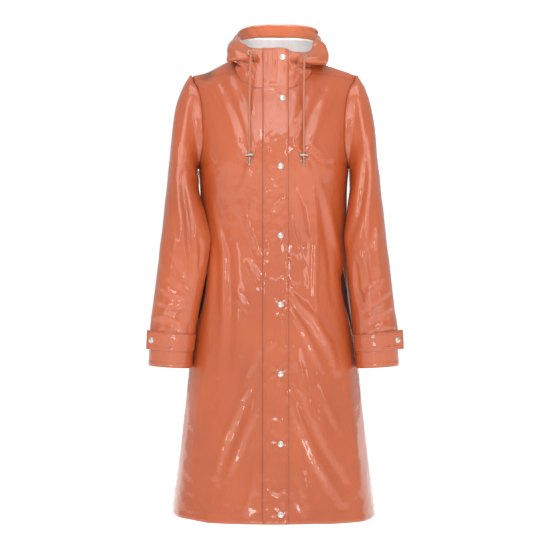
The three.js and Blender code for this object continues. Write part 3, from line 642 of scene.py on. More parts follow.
# A grid of points with cells of about the wanted size, on the surface of a sparse one.
def refine(grid, size, closed=False):
    if closed:
        ring = np.concatenate([grid, grid[:, :1]], axis=1)
        across = chordKnots(ring, 1)
        count = max(int(round(across[-1] / size)), 8)
        columns = np.linspace(0, across[-1], count, endpoint=False)
    else:
        across = chordKnots(grid, 1)
        count = max(int(round(across[-1] / size)), 2)
        columns = np.linspace(0, across[-1], count + 1)
    up = chordKnots(grid, 0)
    rows = np.linspace(0, up[-1], max(int(round(up[-1] / size)), 2) + 1)
    tall = np.einsum("rv,vuk->ruk", spread(up, rows), grid)
    dense = np.einsum("cu,ruk->rck", spread(across, columns, closed), tall)
    return dense, rows, columns


def normalsOf(grid, closed=False, side=1):
    if closed:
        acrossStep = np.roll(grid, -1, axis=1) - np.roll(grid, 1, axis=1)
    else:
        acrossStep = np.gradient(grid, axis=1)
    normal = np.cross(acrossStep, np.gradient(grid, axis=0)) * side
    return normal / np.maximum(np.linalg.norm(normal, axis=2, keepdims=True), 1e-9)


# How deep and wide the shallow counter-waves beside each fold are, against the fold itself.
counterDeep = 0.35
counterWide = 2.2


# Folds: each row is a soft ridge (+) or trough (-) along a line of (across, height) points.
def foldsOf(points, rows, axes=(0, 2)):
    a, b = points[..., axes[0]], points[..., axes[1]]
    total = np.zeros(a.shape)
    for deep, wide, *line in rows:
        lengths = [math.dist(p, q) for p, q in zip(line, line[1:])]
        whole, gone = sum(lengths), 0.0
        best = np.full(a.shape, 1e9)
        place = np.zeros(a.shape)
        for (x0, z0), (x1, z1), length in zip(line, line[1:], lengths):
            dx, dz = (x1 - x0) / length, (z1 - z0) / length
            t = np.clip((a - x0) * dx + (b - z0) * dz, 0, length)
            away = np.hypot(a - x0 - dx * t, b - z0 - dz * t)
            nearer = away < best
            best = np.where(nearer, away, best)
            place = np.where(nearer, (gone + t) / whole, place)
            gone += length
        fade = np.clip(np.sin(math.pi * np.clip(0.06 + 0.88 * place, 0, 1)), 0, 1) ** 0.8
        counter = counterDeep * np.exp(-((best / wide / counterWide) ** 2))
        total += deep * fade * (np.exp(-((best / wide) ** 2)) - counter)
    return total


# Smooth unevenness from sine waves of mixed headings, the same each run.
def ripple(points, size, seed, stretch=(1, 1, 1)):
    total = np.zeros(points.shape[:2])
    p = points / (np.array(stretch) * size)
    for i in range(6):
        turns = (seed + 2.1 * i, 1.7 * seed + 3.3 * i, 2.3 * seed + 1.3 * i)
        heading = np.array([math.sin(turns[0]), math.cos(turns[1]), math.sin(turns[2])])
        heading /= np.linalg.norm(heading)
        bend = np.sin(p @ heading[[1, 2, 0]] * 1.3 + seed * i)
        total += np.sin((p @ heading) * (1.6 + 0.5 * i) * 2 + 1.4 * bend + 5.1 * i + seed)
    return total / 6


# The sum of several ripples, each of (size, seed, stretch, height).
def ripples(points, layers):
    return sum(ripple(points, size, seed, stretch) * height for size, seed, stretch, height in layers)


def smooth(low, high, value):
    t = np.clip((value - low) / (high - low), 0, 1)
    return t * t * (3 - 2 * t)


print("forms ready")


# Shader building: a socket that takes part in sums and products.
class Signal:
    def __init__(self, paint, socket):
        self.paint = paint
        self.socket = socket

    def math(self, operation, first, second):
        return self.paint.node("ShaderNodeMath", {"operation": operation}, {0: first, 1: second})

    def __add__(self, other):
        return self.math("ADD", self, other)

    def __radd__(self, other):
        return self.math("ADD", other, self)

    def __sub__(self, other):
        return self.math("SUBTRACT", self, other)

    def __rsub__(self, other):
        return self.math("SUBTRACT", other, self)

    def __mul__(self, other):
        return self.math("MULTIPLY", self, other)

    def __rmul__(self, other):
        return self.math("MULTIPLY", other, self)

    def clamped(self, low, high):
        names = {"From Min": low, "From Max": high, "To Min": 0.0, "To Max": 1.0}
        return self.paint.node("ShaderNodeMapRange", {"clamp": True}, {"Value": self, **names})


class Paint:
    def __init__(self, name):
        self.material = bpy.data.materials.new(name)
        self.material.use_nodes = True
        self.tree = self.material.node_tree
        self.shader = self.tree.nodes["Principled BSDF"]
        self.place = self.node("ShaderNodeTexCoord", {}, {}, "Object")

    def feed(self, slot, value):
        if isinstance(value, Signal):
            self.tree.links.new(value.socket, slot)
        elif slot.type == "RGBA":
            slot.default_value = (*value[:3], 1)
        else:
            slot.default_value = value

    def node(self, kind, settings, values, output=0):
        node = self.tree.nodes.new(kind)
        for name, value in settings.items():
            setattr(node, name, value)
        for name, value in values.items():
            self.feed(node.inputs[name], value)
        return Signal(self, node.outputs[output])

    def stretched(self, x, y, z):
        return self.node("ShaderNodeVectorMath", {"operation": "MULTIPLY"}, {0: self.place, 1: (x, y, z)})

    def noise(self, scale, detail=2.0, rough=0.5, place=None):
        values = {"Vector": place or self.place, "Scale": scale, "Detail": detail, "Roughness": rough}
        return self.node("ShaderNodeTexNoise", {}, values)

    def cells(self, scale):
        return self.node("ShaderNodeTexVoronoi", {"feature": "F1"}, {"Vector": self.place, "Scale": scale})

    def waves(self, scale, direction, place=None, distortion=0.0):
        values = {"Vector": place or self.place, "Scale": scale, "Distortion": distortion}
        return self.node("ShaderNodeTexWave", {"bands_direction": direction}, values, "Fac")

    def colours(self, factor, first, second):
        node = self.tree.nodes.new("ShaderNodeMix")
        node.data_type = "RGBA"
        for slot, value in zip((node.inputs[0], node.inputs[6], node.inputs[7]), (factor, first, second)):
            self.feed(slot, value)
        return Signal(self, node.outputs[2])

    def attribute(self, name):
        return self.node("ShaderNodeAttribute", {"attribute_name": name}, {}, "Fac")

    def bump(self, *layers):
        normal = None
        for height, distance in layers:
            values = {"Height": height, "Distance": distance, "Strength": 1.0}
            if normal:
                values["Normal"] = normal
            normal = self.node("ShaderNodeBump", {}, values)
        return normal

    def finish(self, values):
        for name, value in values.items():
            self.feed(self.shader.inputs[name], value)
        return self.material


def coatPaint(name, light, deep, rough, coating):
    paint = Paint(name)
    broad = paint.noise(7, 3)
    fine = paint.noise(420, 2)
    seam = paint.attribute("seam")
    colour = paint.colours(broad.clamped(0.3, 0.7), deep, light)
    # Painted shade: the colour darkens along every panel's edges, where the pieces meet. The same edge mark
    # also makes the cloth a little rougher there.
    colour = paint.colours(seam * 0.22, colour, [c * 0.72 for c in deep])
    # Painted shade: the deepest troughs, as under the hood's roll, are darkened almost to black.
    colour = paint.colours(paint.attribute("tuck_shade") * 0.8, colour, [c * 0.25 for c in deep])
    grain = paint.cells(1500)
    creased = paint.noise(34, 4, 0.55, paint.stretched(1.3, 1.3, 0.7))
    normal = paint.bump((creased, 0.0016), (grain, 0.00006), (fine, 0.00012))
    values = {
        "Base Color": colour,
        "Roughness": rough + fine * 0.1 + seam * 0.08,
        "Coat Weight": coating,
        "Coat Roughness": 0.05,
        "Specular IOR Level": 0.5,
        "Normal": normal,
    }
    return paint.finish(values)


def knitPaint(name, light, deep, scale, sheen=0.25):
    paint = Paint(name)
    across = paint.waves(scale, "X")
    up = paint.waves(scale, "Z")
    weave = across * 0.5 + up * 0.5
    tone = paint.colours((paint.noise(14, 3) * 0.6 + weave * 0.4).clamped(0.2, 0.8), deep, light)
    values = {
        "Base Color": tone,
        "Roughness": 0.72 + weave * 0.12,
        "Sheen Weight": sheen,
        "Normal": paint.bump((weave, 0.00015), (paint.noise(40, 3), 0.0008)),
    }
    return paint.finish(values)


def metalPaint(name, light, deep, rough):
    paint = Paint(name)
    brushed = paint.noise(900, 2, 0.6, paint.stretched(1, 1, 0.15))
    worn = paint.noise(160, 3)
    values = {
        "Base Color": paint.colours(worn.clamped(0.35, 0.7), deep, light),
        "Metallic": 1.0,
        "Roughness": rough + brushed * 0.12 + worn * 0.08,
        "Normal": paint.bump((brushed, 0.00003)),
    }
    return paint.finish(values)


def cordPaint(name, light, deep):
    paint = Paint(name)
    braid = paint.waves(330, "DIAGONAL", None, 0.4)
    other = paint.waves(330, "DIAGONAL", paint.stretched(-1, 1, 1), 0.4)
    strands = braid * 0.5 + other * 0.5
    values = {
        "Base Color": paint.colours(strands.clamped(0.15, 0.8), deep, light),
        "Roughness": 0.6 + strands * 0.15,
        "Sheen Weight": 0.2,
        "Normal": paint.bump((strands, 0.0003)),
    }
    return paint.finish(values)


tones = {
    "coat": {"light": (0.535, 0.108, 0.029), "deep": (0.465, 0.086, 0.022), "rough": 0.34, "coating": 0.9},
    # The facing is the coat's own cloth, made much lighter here as painted light for the shaded inside of
    # the hood.
    "facing": {"light": (0.95, 0.28, 0.13), "deep": (0.8, 0.21, 0.092), "rough": 0.38, "coating": 0.6},
    "inside": {"light": (0.4, 0.15, 0.085), "deep": (0.3, 0.1, 0.055), "scale": 420},
    "lining": {"light": (0.97, 0.95, 0.95), "deep": (0.88, 0.84, 0.84), "scale": 500},
    # The pocket bag is near black: painted shade inside the pocket openings.
    "pocket": {"light": (0.11, 0.025, 0.01), "deep": (0.06, 0.014, 0.006), "scale": 500, "sheen": 0.0},
    "thread": {"light": (0.48, 0.12, 0.05), "deep": (0.3, 0.07, 0.026)},
    "cord": {"light": (0.62, 0.21, 0.11), "deep": (0.4, 0.11, 0.05)},
    "fittings": {"light": (0.68, 0.66, 0.6), "deep": (0.52, 0.5, 0.45), "rough": 0.2},
    "toggle": {"light": (0.56, 0.5, 0.42), "deep": (0.34, 0.28, 0.22), "rough": 0.14},
}
coatCloth = coatPaint("coat_cloth", **tones["coat"])
facingLitCloth = coatPaint("facing_cloth_painted_light", **tones["facing"])
coatInside = knitPaint("coat_inside", **tones["inside"])
liningCloth = knitPaint("hood_lining_cloth", **tones["lining"])
bagShadeCloth = knitPaint("pocket_cloth", **tones["pocket"])
threadPaint = cordPaint("thread", **tones["thread"])
cordCloth = cordPaint("cord_cloth", **tones["cord"])
fittingsMetal = metalPaint("fittings_metal", **tones["fittings"])
toggleMetal = metalPaint("toggle_metal", **tones["toggle"])
print("materials ready")


# Pieces: all of them ride on the root, and each but the stitching takes the place of the solid of its name.
def made(name, data, node=None):
    piece = bpy.data.objects.new(name + "_piece", data)
    scene.collection.objects.link(piece)
    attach(piece, "root")
    if node:
        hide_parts(node)
    return piece


def meshOf(name, points, faces, materials, slots=None, marks=None):
    mesh = bpy.data.meshes.new(name)
    mesh.from_pydata((np.asarray(points) * metre).tolist(), [], np.asarray(faces).tolist())
    mesh.polygons.foreach_set("use_smooth", np.ones(len(mesh.polygons), bool))
    for material in materials:
        mesh.materials.append(material)
    if slots is not None:
        mesh.polygons.foreach_set("material_index", slots)
    for mark, values in (marks or {}).items():
        mesh.attributes.new(mark, "FLOAT", "POINT").data.foreach_set("value", np.tile(values.ravel(), 2))
    mesh.update()
    return mesh


def edgeDistance(rows, columns, closed):
    up = np.minimum(rows, rows[-1] - rows)[:, None]
    if closed:
        return np.repeat(up, len(columns), axis=1)
    across = np.minimum(columns, columns[-1] - columns)[None, :]
    return np.minimum(np.repeat(up, len(columns), axis=1), np.repeat(across, len(rows), axis=0))


clothValues = {"out": 0.1, "wall": 1.2, "closed": False, "shift": None, "pucker": 0.25, "under": ()}
pressed = {"drop": 0.35, "dropWide": 2.2, "swell": 0.25, "swellAt": 6, "swellWide": 3.2}
puckerSize = 12
# The trough depths over which the painted shade in the troughs grows from none to full.
tuckShadeFrom = -3
tuckShadeFull = -8.5
# How far in from an edge the painted shade along the seams reaches.
seamShade = 3.5
allowanceWidth = 3.2
allowanceLeft = 0.05
narrowest = 0.4
narrowFill = 0.55
cloths = {}


# A thin shell of cloth: folds move its grid along the normals, and its edges are turned and pressed.
class Cloth:
    def __init__(self, name, grid, fold, side=1, size=0, **values):
        out, wall, closed, shift, pucker, under = {**clothValues, **values}.values()
        self.name, self.side, self.closed, self.under = name, side, closed, under
        if isinstance(grid, dict):
            base, normals, self.rows, self.columns = grid.values()
        else:
            base, self.rows, self.columns = refine(grid, size, closed)
            base = shift(base, self.columns) if shift else base
            normals = normalsOf(base, closed, side)
        self.base = base
        self.edge = edgeDistance(self.rows, self.columns, closed)
        lift = fold(base) - pressed["drop"] * np.exp(-((self.edge / pressed["dropWide"]) ** 2))
        beside = (self.edge - pressed["swellAt"]) / pressed["swellWide"]
        lift = lift + pressed["swell"] * np.exp(-(beside**2))
        lift = lift + pucker * ripple(base, puckerSize, 4) * np.exp(-((self.edge / puckerSize) ** 2))
        middle = base + normals * lift[..., None]
        self.normals = normalsOf(middle, closed, side)
        # How deep each point lies in a trough; this mark carries painted shade into the colour of the
        # deepest troughs.
        self.deep = smooth(tuckShadeFrom, tuckShadeFull, lift)
        self.middle = middle + normals * out
        self.outer = self.middle + normals * wall / 2
        self.inner = self.middle - normals * wall / 2

    # The flat size of the cloth that shows, all round on a tube, and its area.
    def cut(self):
        base = self.base
        if self.closed:
            base = np.concatenate([base, base[:, :1]], axis=1)
        wide = np.linalg.norm(np.diff(base, axis=1), axis=2).sum(axis=1).max() * metre
        tall = np.linalg.norm(np.diff(base, axis=0), axis=2).sum(axis=0).max() * metre
        a, b = base[1:, 1:] - base[:-1, :-1], base[1:, :-1] - base[:-1, 1:]
        area = np.linalg.norm(np.cross(a, b), axis=2).sum() / 2 * metre**2
        if area < narrowest * wide * tall:
            wide = area / (narrowFill * tall)
        halfMillimetre = metre / 2
        return (round(wide + halfMillimetre, 3), round(tall + halfMillimetre, 3)), round(area, 4)

    # A seam edge goes on a little under the next piece, except along a pocket's opening.
    def allowance(self, outer, inner, marks, normals, edge):
        axis, first = (0, edge == "low") if edge in ("low", "high") else (1, edge == "left")
        end, before = (0, 1) if first else (-1, -2)
        last, up = np.take(outer, end, axis), np.take(normals, end, axis)
        away = last - np.take(outer, before, axis)
        away /= np.maximum(np.linalg.norm(away, axis=1, keepdims=True), 1e-9)
        z = last[:, 2]
        opened = smooth(pocketLowZ, pocketLowZ + 35, z) * (1 - smooth(pocketHighZ - 30, pocketHighZ, z))
        length = allowanceWidth * (1 - (1 - allowanceLeft) * opened)[:, None]
        step = away * length - up * length * 0.5

        def grown(array, move=0.0):
            parts = [np.expand_dims(np.take(array, end, axis) + move, axis), array]
            return np.concatenate(parts if first else parts[::-1], axis=axis)

        marks = {name: grown(values) for name, values in marks.items()}
        return grown(outer, step), grown(inner, step), marks, grown(normals)

    def build(self, rests, outside=coatCloth, inside=coatInside):
        # Marks for the colour: painted shade along the edges and in the deep troughs.
        marks = {"seam": np.exp(-((self.edge / seamShade) ** 2)), "tuck_shade": self.deep}
        outer, inner, normals = self.outer, self.inner, self.normals
        for edge in self.under:
            outer, inner, marks, normals = self.allowance(outer, inner, marks, normals, edge)
        rows, columns = outer.shape[:2]
        across = columns if self.closed else columns - 1
        v, u = (axis.ravel() for axis in np.meshgrid(np.arange(rows - 1), np.arange(across), indexing="ij"))
        n = (u + 1) % columns
        far = rows * columns
        a, b, c, d = v * columns + u, v * columns + n, (v + 1) * columns + n, (v + 1) * columns + u
        top = np.stack([a, b, c, d], axis=1)
        back = np.stack([a, d, c, b], axis=1) + far
        rims = []
        low, high = a[v == 0], d[v == rows - 2]
        lowNext, highNext = b[v == 0], c[v == rows - 2]
        rims.append(np.stack([low, low + far, lowNext + far, lowNext], axis=1))
        rims.append(np.stack([high, highNext, highNext + far, high + far], axis=1))
        if not self.closed:
            left, leftUp = a[u == 0], d[u == 0]
            right, rightUp = b[u == columns - 2], c[u == columns - 2]
            rims.append(np.stack([left, leftUp, leftUp + far, left + far], axis=1))
            rims.append(np.stack([right, right + far, rightUp + far, rightUp], axis=1))
        rims = np.concatenate(rims)
        faces = np.concatenate([top, back, rims])
        if self.side < 0:
            faces = faces[:, ::-1]
        slots = np.concatenate([np.zeros(len(top)), np.ones(len(back)), np.zeros(len(rims))]).astype(int)
        points = np.concatenate([outer.reshape(-1, 3), inner.reshape(-1, 3)])
        mesh = meshOf(self.name, points, faces, [outside, inside], slots, marks)
        piece = made(self.name, mesh, self.name)
        flat, area = self.cut()
        print(self.name, "cut", flat, area, "faces", len(faces))
        cloths[self.name] = self

    # Points on the outside, a little in from one edge, with the directions out of the cloth.
    def run(self, edge, inset):
        if edge in ("left", "right"):
            wanted = inset if edge == "left" else self.columns[-1] - inset
            u = int(np.argmin(np.abs(self.columns - wanted)))
            points, normals = self.outer[:, u], self.normals[:, u]
        else:
            wanted = inset if edge == "low" else self.rows[-1] - inset
            v = int(np.argmin(np.abs(self.rows - wanted)))
            points, normals = self.outer[v], self.normals[v]
            if self.closed:
                points, normals = (np.concatenate([a, a[:1]]) for a in (points, normals))
        return points, normals

    # The place on the outside of the front at x and z, and the direction out of the cloth there.
    def nearest(self, x, z):
        away = (self.outer[..., 0] - x) ** 2 + (self.outer[..., 2] - z) ** 2 + (self.outer[..., 1] > 0) * 1e6
        v, u = np.unravel_index(np.argmin(away), away.shape)
        normal = self.normals[v, u]
        point = self.outer[v, u].copy()
        shift = np.array([x - point[0], 0, z - point[2]])
        shift[1] = -(shift[0] * normal[0] + shift[2] * normal[2]) / min(normal[1], -0.2)
        return point + shift, normal


# Stitches: short rounded threads at even steps along a run.
stitchValues = {"pitch": 3.4, "long": 2.4, "thick": 0.34}
stitchPoints, stitchFaces = [], []


def stitch(points, normals):
    pitch, long, thick = stitchValues.values()
    steps = np.linalg.norm(np.diff(points, axis=0), axis=1)
    lengths = np.concatenate([[0], np.cumsum(steps)])
    for place in np.arange(pitch, lengths[-1] - pitch, pitch):
        i = min(int(np.searchsorted(lengths, place)) - 1, len(points) - 2)
        ahead = points[i + 1] - points[i]
        ahead = ahead / max(np.linalg.norm(ahead), 1e-9)
        t = (place - lengths[i]) / max(steps[i], 1e-9)
        up = normals[i]
        across = np.cross(ahead, up)
        middle = mix(points[i], points[i + 1], t) + up * 0.02
        first = len(stitchPoints)
        for share, size in ((-0.5, 0.35), (-0.25, 1), (0.25, 1), (0.5, 0.35)):
            for side, lift in ((-1, 0), (-0.6, 0.8), (0.6, 0.8), (1, 0)):
                rise = up * lift * thick * size * 0.8
                stitchPoints.append(middle + ahead * share * long + across * side * thick * size + rise)
        for j in range(3):
            for k in range(3):
                a = first + j * 4 + k
                stitchFaces.append((a, a + 1, a + 5, a + 4))
        stitchFaces.append((first, first + 1, first + 2, first + 3))
        stitchFaces.append((first + 12, first + 15, first + 14, first + 13))


# Folds of the coat's body, seen from the front: (deep, wide, then points of x and z).
frontFolds = [
    (2.6, 11, (-36, -752), (-72, -842), (-116, -938)),
    (2.2, 9, (-75, -764), (-110, -842), (-128, -922)),
    (-2.0, 10, (-52, -740), (-92, -850), (-120, -960)),
    (2.6, 10, (34, -515), (86, -570), (123, -630), (141, -694)),
    (2.2, 8, (34, -545), (72, -607), (109, -688)),
    (-2.2, 9, (36, -530), (78, -588), (116, -655)),
    (2.6, 11, (36, -742), (96, -890), (153, -982)),
    (2.0, 9, (108, -735), (148, -824)),
    (-2.0, 10, (60, -770), (112, -872), (160, -950)),
    (2.0, 8, (-70, -316), (-50, -389), (-36, -434)),
    (1.8, 7, (-57, -445), (-34, -490)),
    (1.6, 7, (-86, -508), (-57, -556)),
    (2.0, 9, (-140, -300), (-114, -420), (-112, -580), (-124, -700)),
    (-1.8, 10, (-128, -320), (-98, -430), (-94, -600), (-104, -720)),
    (1.8, 9, (-152, -330), (-140, -470), (-150, -620)),
    (2.0, 8, (90, -270), (95, -400), (92, -520), (104, -610)),
    (2.2, 9, (118, -285), (141, -397), (160, -470)),
    (-2.0, 9, (104, -300), (122, -420), (132, -540)),
    (1.8, 8, (37, -519), (60, -548), (84, -566)),
    (1.9, 13, (-137, -32), (-112, -80), (-88, -140), (-68, -210)),
    (-1.9, 12, (-120, -40), (-95, -92), (-72, -150), (-52, -225)),
    (1.8, 12, (-104, -30), (-78, -90), (-56, -150), (-40, -240)),
    (-1.8, 11, (-88, -30), (-66, -80), (-46, -132)),
    (1.9, 13, (137, -40), (112, -95), (88, -160), (66, -230)),
    (-1.9, 12, (118, -45), (92, -100), (70, -165), (52, -230)),
    (1.8, 11, (62, -58), (50, -100), (40, -140)),
    (-1.6, 10, (78, -50), (62, -95), (48, -140)),
    (1.6, 8, (-40, -180), (-56, -240), (-72, -290)),
    (1.7, 8, (44, -170), (62, -215), (86, -260)),
    (1.4, 7, (-40, -290), (-52, -330), (-60, -372)),
    (1.5, 7, (40, -270), (60, -330), (70, -390)),
    (-1.5, 7, (42, -330), (60, -400), (62, -440)),
    (1.8, 10, (-160, -700), (-172, -820), (-186, -960)),
    (1.8, 10, (165, -690), (182, -830), (196, -960)),
    (1.6, 10, (-40, -620), (-58, -700), (-70, -760)),
    (1.5, 9, (46, -640), (62, -700), (74, -760)),
    (1.6, 12, (-40, -900), (-52, -960), (-56, -1010)),
    (1.6, 12, (56, -900), (70, -960), (78, -1012)),
]
# Short, sharp creases beside the flap, where the light catches.
sharpFolds = [
    (2.0, 4.2, (-66, -280), (-52, -292), (-36, -310)),
    (1.6, 4.0, (-60, -300), (-46, -318)),
    (1.8, 4.2, (60, -418), (62, -430), (66, -442)),
    (1.4, 4.0, (34, -430), (50, -437)),
    (1.8, 4.4, (-58, -446), (-48, -468), (-36, -492)),
    (2.0, 4.6, (-84, -524), (-72, -540), (-58, -560)),
    (2.2, 5.0, (-84, -180), (-58, -226), (-30, -278)),
    (-1.8, 5.0, (-72, -176), (-48, -218), (-30, -246)),
    (2.0, 4.6, (70, -186), (90, -188), (108, -204)),
    (-1.6, 4.6, (58, -196), (84, -206), (100, -224)),
    (1.8, 4.4, (66, -378), (74, -386), (84, -400)),
    (2.0, 5.0, (36, -512), (54, -540), (76, -576), (92, -620)),
    (1.6, 4.6, (38, -492), (52, -502), (66, -496)),
    (2.0, 6.0, (91, -222), (116, -320), (147, -440)),
    (1.8, 5.0, (-62, -340), (-52, -390), (-36, -436)),
    (1.8, 5.0, (-66, -190), (-54, -260), (-50, -330)),
    (1.6, 5.0, (-34, -640), (-44, -672), (-62, -700)),
    (1.8, 5.0, (-46, -716), (-64, -742), (-84, -760)),
    (1.6, 5.0, (40, -700), (52, -726), (68, -742)),
    (1.8, 5.0, (-40, -820), (-52, -850), (-58, -884)),
    (1.6, 5.0, (42, -836), (58, -862), (66, -900)),
    (1.8, 5.0, (-44, -930), (-56, -962), (-60, -1000)),
    (1.6, 5.0, (44, -946), (52, -976), (66, -1004)),
    (1.6, 4.6, (-152, -44), (-134, -74), (-120, -108)),
    (1.6, 4.6, (150, -50), (132, -82), (118, -118)),
]
backFolds = [
    (3.0, 16, (-120, -60), (-60, -110), (0, -128), (60, -108), (118, -62)),
    (2.2, 14, (-128, -110), (-70, -170), (-10, -190), (50, -172)),
    (-2.4, 14, (-112, -90), (-40, -150), (40, -152), (110, -100)),
    (2.4, 14, (-20, -230), (-44, -400), (-60, -560)),
    (2.2, 13, (70, -220), (88, -380), (84, -540)),
    (-2.2, 15, (24, -250), (20, -430), (8, -640)),
    (2.6, 17, (-110, -560), (-128, -760), (-150, -980)),
    (2.4, 16, (-20, -600), (-26, -780), (-14, -990)),
    (2.4, 16, (104, -600), (120, -800), (128, -990)),
    (-2.2, 16, (48, -620), (58, -800), (62, -980)),
    (1.8, 11, (-130, -330), (-86, -372), (-30, -392)),
    (1.8, 11, (132, -360), (90, -398), (44, -410)),
]
sideFolds = [
    (2.2, 13, (-20, -560), (-34, -760), (-28, -980)),
    (2.4, 14, (44, -520), (60, -740), (78, -980)),
    (-2.0, 13, (12, -560), (16, -760), (24, -980)),
    (1.6, 10, (40, -260), (60, -330), (96, -380)),
]
# The cords lie on the cloth along these lines, so no fold rises there.
cordLines = [-51.9, 65]


# How strongly the folds show on the body, and how far the left shoulder sinks.
bodyValues = {"front": 1.9, "back": 1.5, "shoulder": 7, "cordWide": 13}
bodyRipples = [(62, 1, (1, 1, 2), 0.8), (26, 2, (1, 1, 1.5), 0.4), (13, 3, (1, 1, 1), 0.16)]


def bodyFold(points):
    x, y, z = points[..., 0], points[..., 1], points[..., 2]
    front, back, beside = smooth(0, -50, y), smooth(0, 50, y), smooth(110, 160, np.abs(x))
    lift = (foldsOf(points, frontFolds) * bodyValues["front"] + foldsOf(points, sharpFolds)) * front
    lift = lift + foldsOf(points, backFolds) * back * bodyValues["back"]
    lift = lift - bodyValues["shoulder"] * np.exp(-(((x + 156) / 32) ** 2)) * smooth(-60, -18, z)
    lift = lift + foldsOf(points, sideFolds, (1, 2)) * beside * (1 - 0.6 * front)
    lift = lift + ripples(points, bodyRipples)
    calm = np.ones(x.shape)
    for cordX in cordLines:
        near = np.exp(-(((x - cordX) / bodyValues["cordWide"]) ** 2)) * smooth(-235, -215, z) * front
        calm = calm * (1 - near)
    lift = np.where(lift > 0, lift * calm, lift)
    nearSleeve = smooth(140, 165, np.abs(x)) * smooth(-560, -440, z) * smooth(0.0, 1.0, 1 - back * 0.2)
    return np.where(lift > 0, lift * (1 - 0.75 * nearSleeve), lift)


snapZ = [12] + [-81 - 153.5 * i for i in range(7)]
snapPlaces = [(20 if i < 2 else snapX, z) for i, z in enumerate(snapZ)]
flapFolds = [
    (1.7, 3.0, (-17, 40), (-15, 5), (-19, -42)),
    (-1.4, 2.8, (-12, 42), (-10, 0), (-13, -40)),
    (1.9, 3.2, (-6, 44), (-4, 0), (-8, -44)),
    (-1.4, 2.8, (-1, 42), (1, 4), (-2, -38)),
    (1.7, 3.2, (4, 44), (6, 5), (2, -44)),
    (-1.4, 2.8, (9, 42), (11, -8), (7, -40)),
    (1.6, 2.8, (24, 30), (22, -4), (20, -36)),
    (1.6, 4.5, (-22, -56), (4, -60), (28, -54)),
    (-1.2, 4.0, (-20, -64), (6, -68), (28, -64)),
    (2.0, 4.6, (-18, -238), (-10, -262), (4, -274), (22, -266)),
    (1.6, 4.2, (-20, -180), (-12, -200), (-16, -222)),
    (1.8, 4.4, (-22, -284), (-14, -286), (-6, -282)),
    (2.2, 4.6, (-6, -330), (8, -318), (24, -306)),
    (-1.6, 4.6, (-10, -300), (6, -298), (24, -290)),
    (1.6, 4.6, (-22, -398), (-16, -416), (-18, -434)),
    (1.8, 4.4, (4, -566), (6, -596), (2, -630)),
    (1.8, 4.4, (16, -562), (20, -592), (22, -626)),
    (-1.0, 5, (-16, -330), (8, -340), (26, -320)),
    (1.2, 5, (-20, -345), (0, -330), (18, -300)),
    (1.0, 5, (-20, -480), (4, -492), (26, -478)),
    (1.0, 6, (-18, -640), (6, -622), (26, -640)),
    (1.0, 6, (-18, -800), (4, -786), (26, -806)),
    (1.0, 6, (-18, -940), (6, -956), (26, -944)),
]


# The cloth dips round each snap, and small rays run out from it.
snapDent = {"deep": 0.7, "wide": 9, "ray": 0.45, "rays": 5, "rayAt": 15, "rayWide": 8}


def flapFold(points):
    x, z = points[..., 0], points[..., 2]
    lift = bodyFold(points) * smooth(-30, -90, z)
    lift = lift + foldsOf(points, flapFolds) + ripple(points, 16, 6, (1, 1, 1.4)) * 0.4
    for snapAt, height in snapPlaces:
        away = np.hypot(x - snapAt, z - height)
        turn = np.arctan2(z - height, x - snapAt)
        lift = lift - snapDent["deep"] * np.exp(-((away / snapDent["wide"]) ** 2))
        fading = np.exp(-(((away - snapDent["rayAt"]) / snapDent["rayWide"]) ** 2))
        lift = lift + snapDent["ray"] * np.cos(snapDent["rays"] * turn + height) * fading
    return np.maximum(lift, bodyFold(points) * smooth(-30, -90, z) - 0.35)


# The pocket's edges stand open: the front one is drawn to the centre, and both come a little forward.
# The hem rises and sinks at its two ends as in the photograph.
shiftValues = {"wide": 24, "still": 14, "smoothWide": 26, "rounds": 14, "hem": 3}


def pocketShift(side, wide, forward, edge):
    def shift(base, columns):
        z = base[..., 2]
        opened = smooth(pocketLowZ + 10, -500, z) * (1 - smooth(-490, pocketHighZ + 10, z))
        opened = opened * (base[..., 1] < 20)
        away = columns[-1] - columns if edge else np.minimum(columns, columns[-1] - columns)
        near = np.exp(-((away / shiftValues["wide"]) ** 2))[None, :] * opened * (base[..., 0] * side > 0)
        base = base + near[..., None] * np.array([-side * wide, -forward, 0])
        low, x = smooth(-940, -1035, z), base[..., 0]
        base[..., 2] += low * shiftValues["hem"] * (smooth(-140, -200, x) - smooth(80, 190, x))
        if edge:
            still = 1 - np.exp(-((away / shiftValues["still"]) ** 2))[None, :]
            close = np.exp(-(((base[..., 2] - underarmZ) / shiftValues["smoothWide"]) ** 2))
            weight = (0.5 * still * close)[..., None]
            for i in range(shiftValues["rounds"]):
                middle = base.copy()
                middle[1:-1] = (base[:-2] + base[2:]) / 2
                base = base + (middle - base) * weight
        return base

    return shift


def backShift(base, columns):
    return pocketShift(1, 3.5, 2, False)(pocketShift(-1, 6, 3, False)(base, columns), columns)


leftShift, rightShift = pocketShift(-1, 9, 4, True), pocketShift(1, 7, 4, True)
panels = {
    "front_left": {"side": -1, "size": 3.4, "shift": leftShift, "under": ("right", "high")},
    "front_right": {"size": 3.4, "shift": rightShift, "under": ("right", "high")},
    "back": {"size": 4.6, "shift": backShift, "under": ("left", "right", "high")},
    "yoke": {"size": 3.4, "under": ("left", "right", "low", "high")},
}
grids = (frontGrid(-1, -21), frontGrid(1, -20.2), backGrid(), yokeGrid())
for (name, values), grid in zip(panels.items(), grids):
    Cloth(name, grid, bodyFold, **values).build([] if name == "yoke" else ["yoke"])
flapValues = {"size": 2.4, "out": clothWall / 2 + flapGap + flapWall / 2, "wall": 2.0, "pucker": 0.2}
flap = Cloth("placket", flapGrid(), flapFold, **flapValues)
flap.build(["front_right"])
print("body ready")


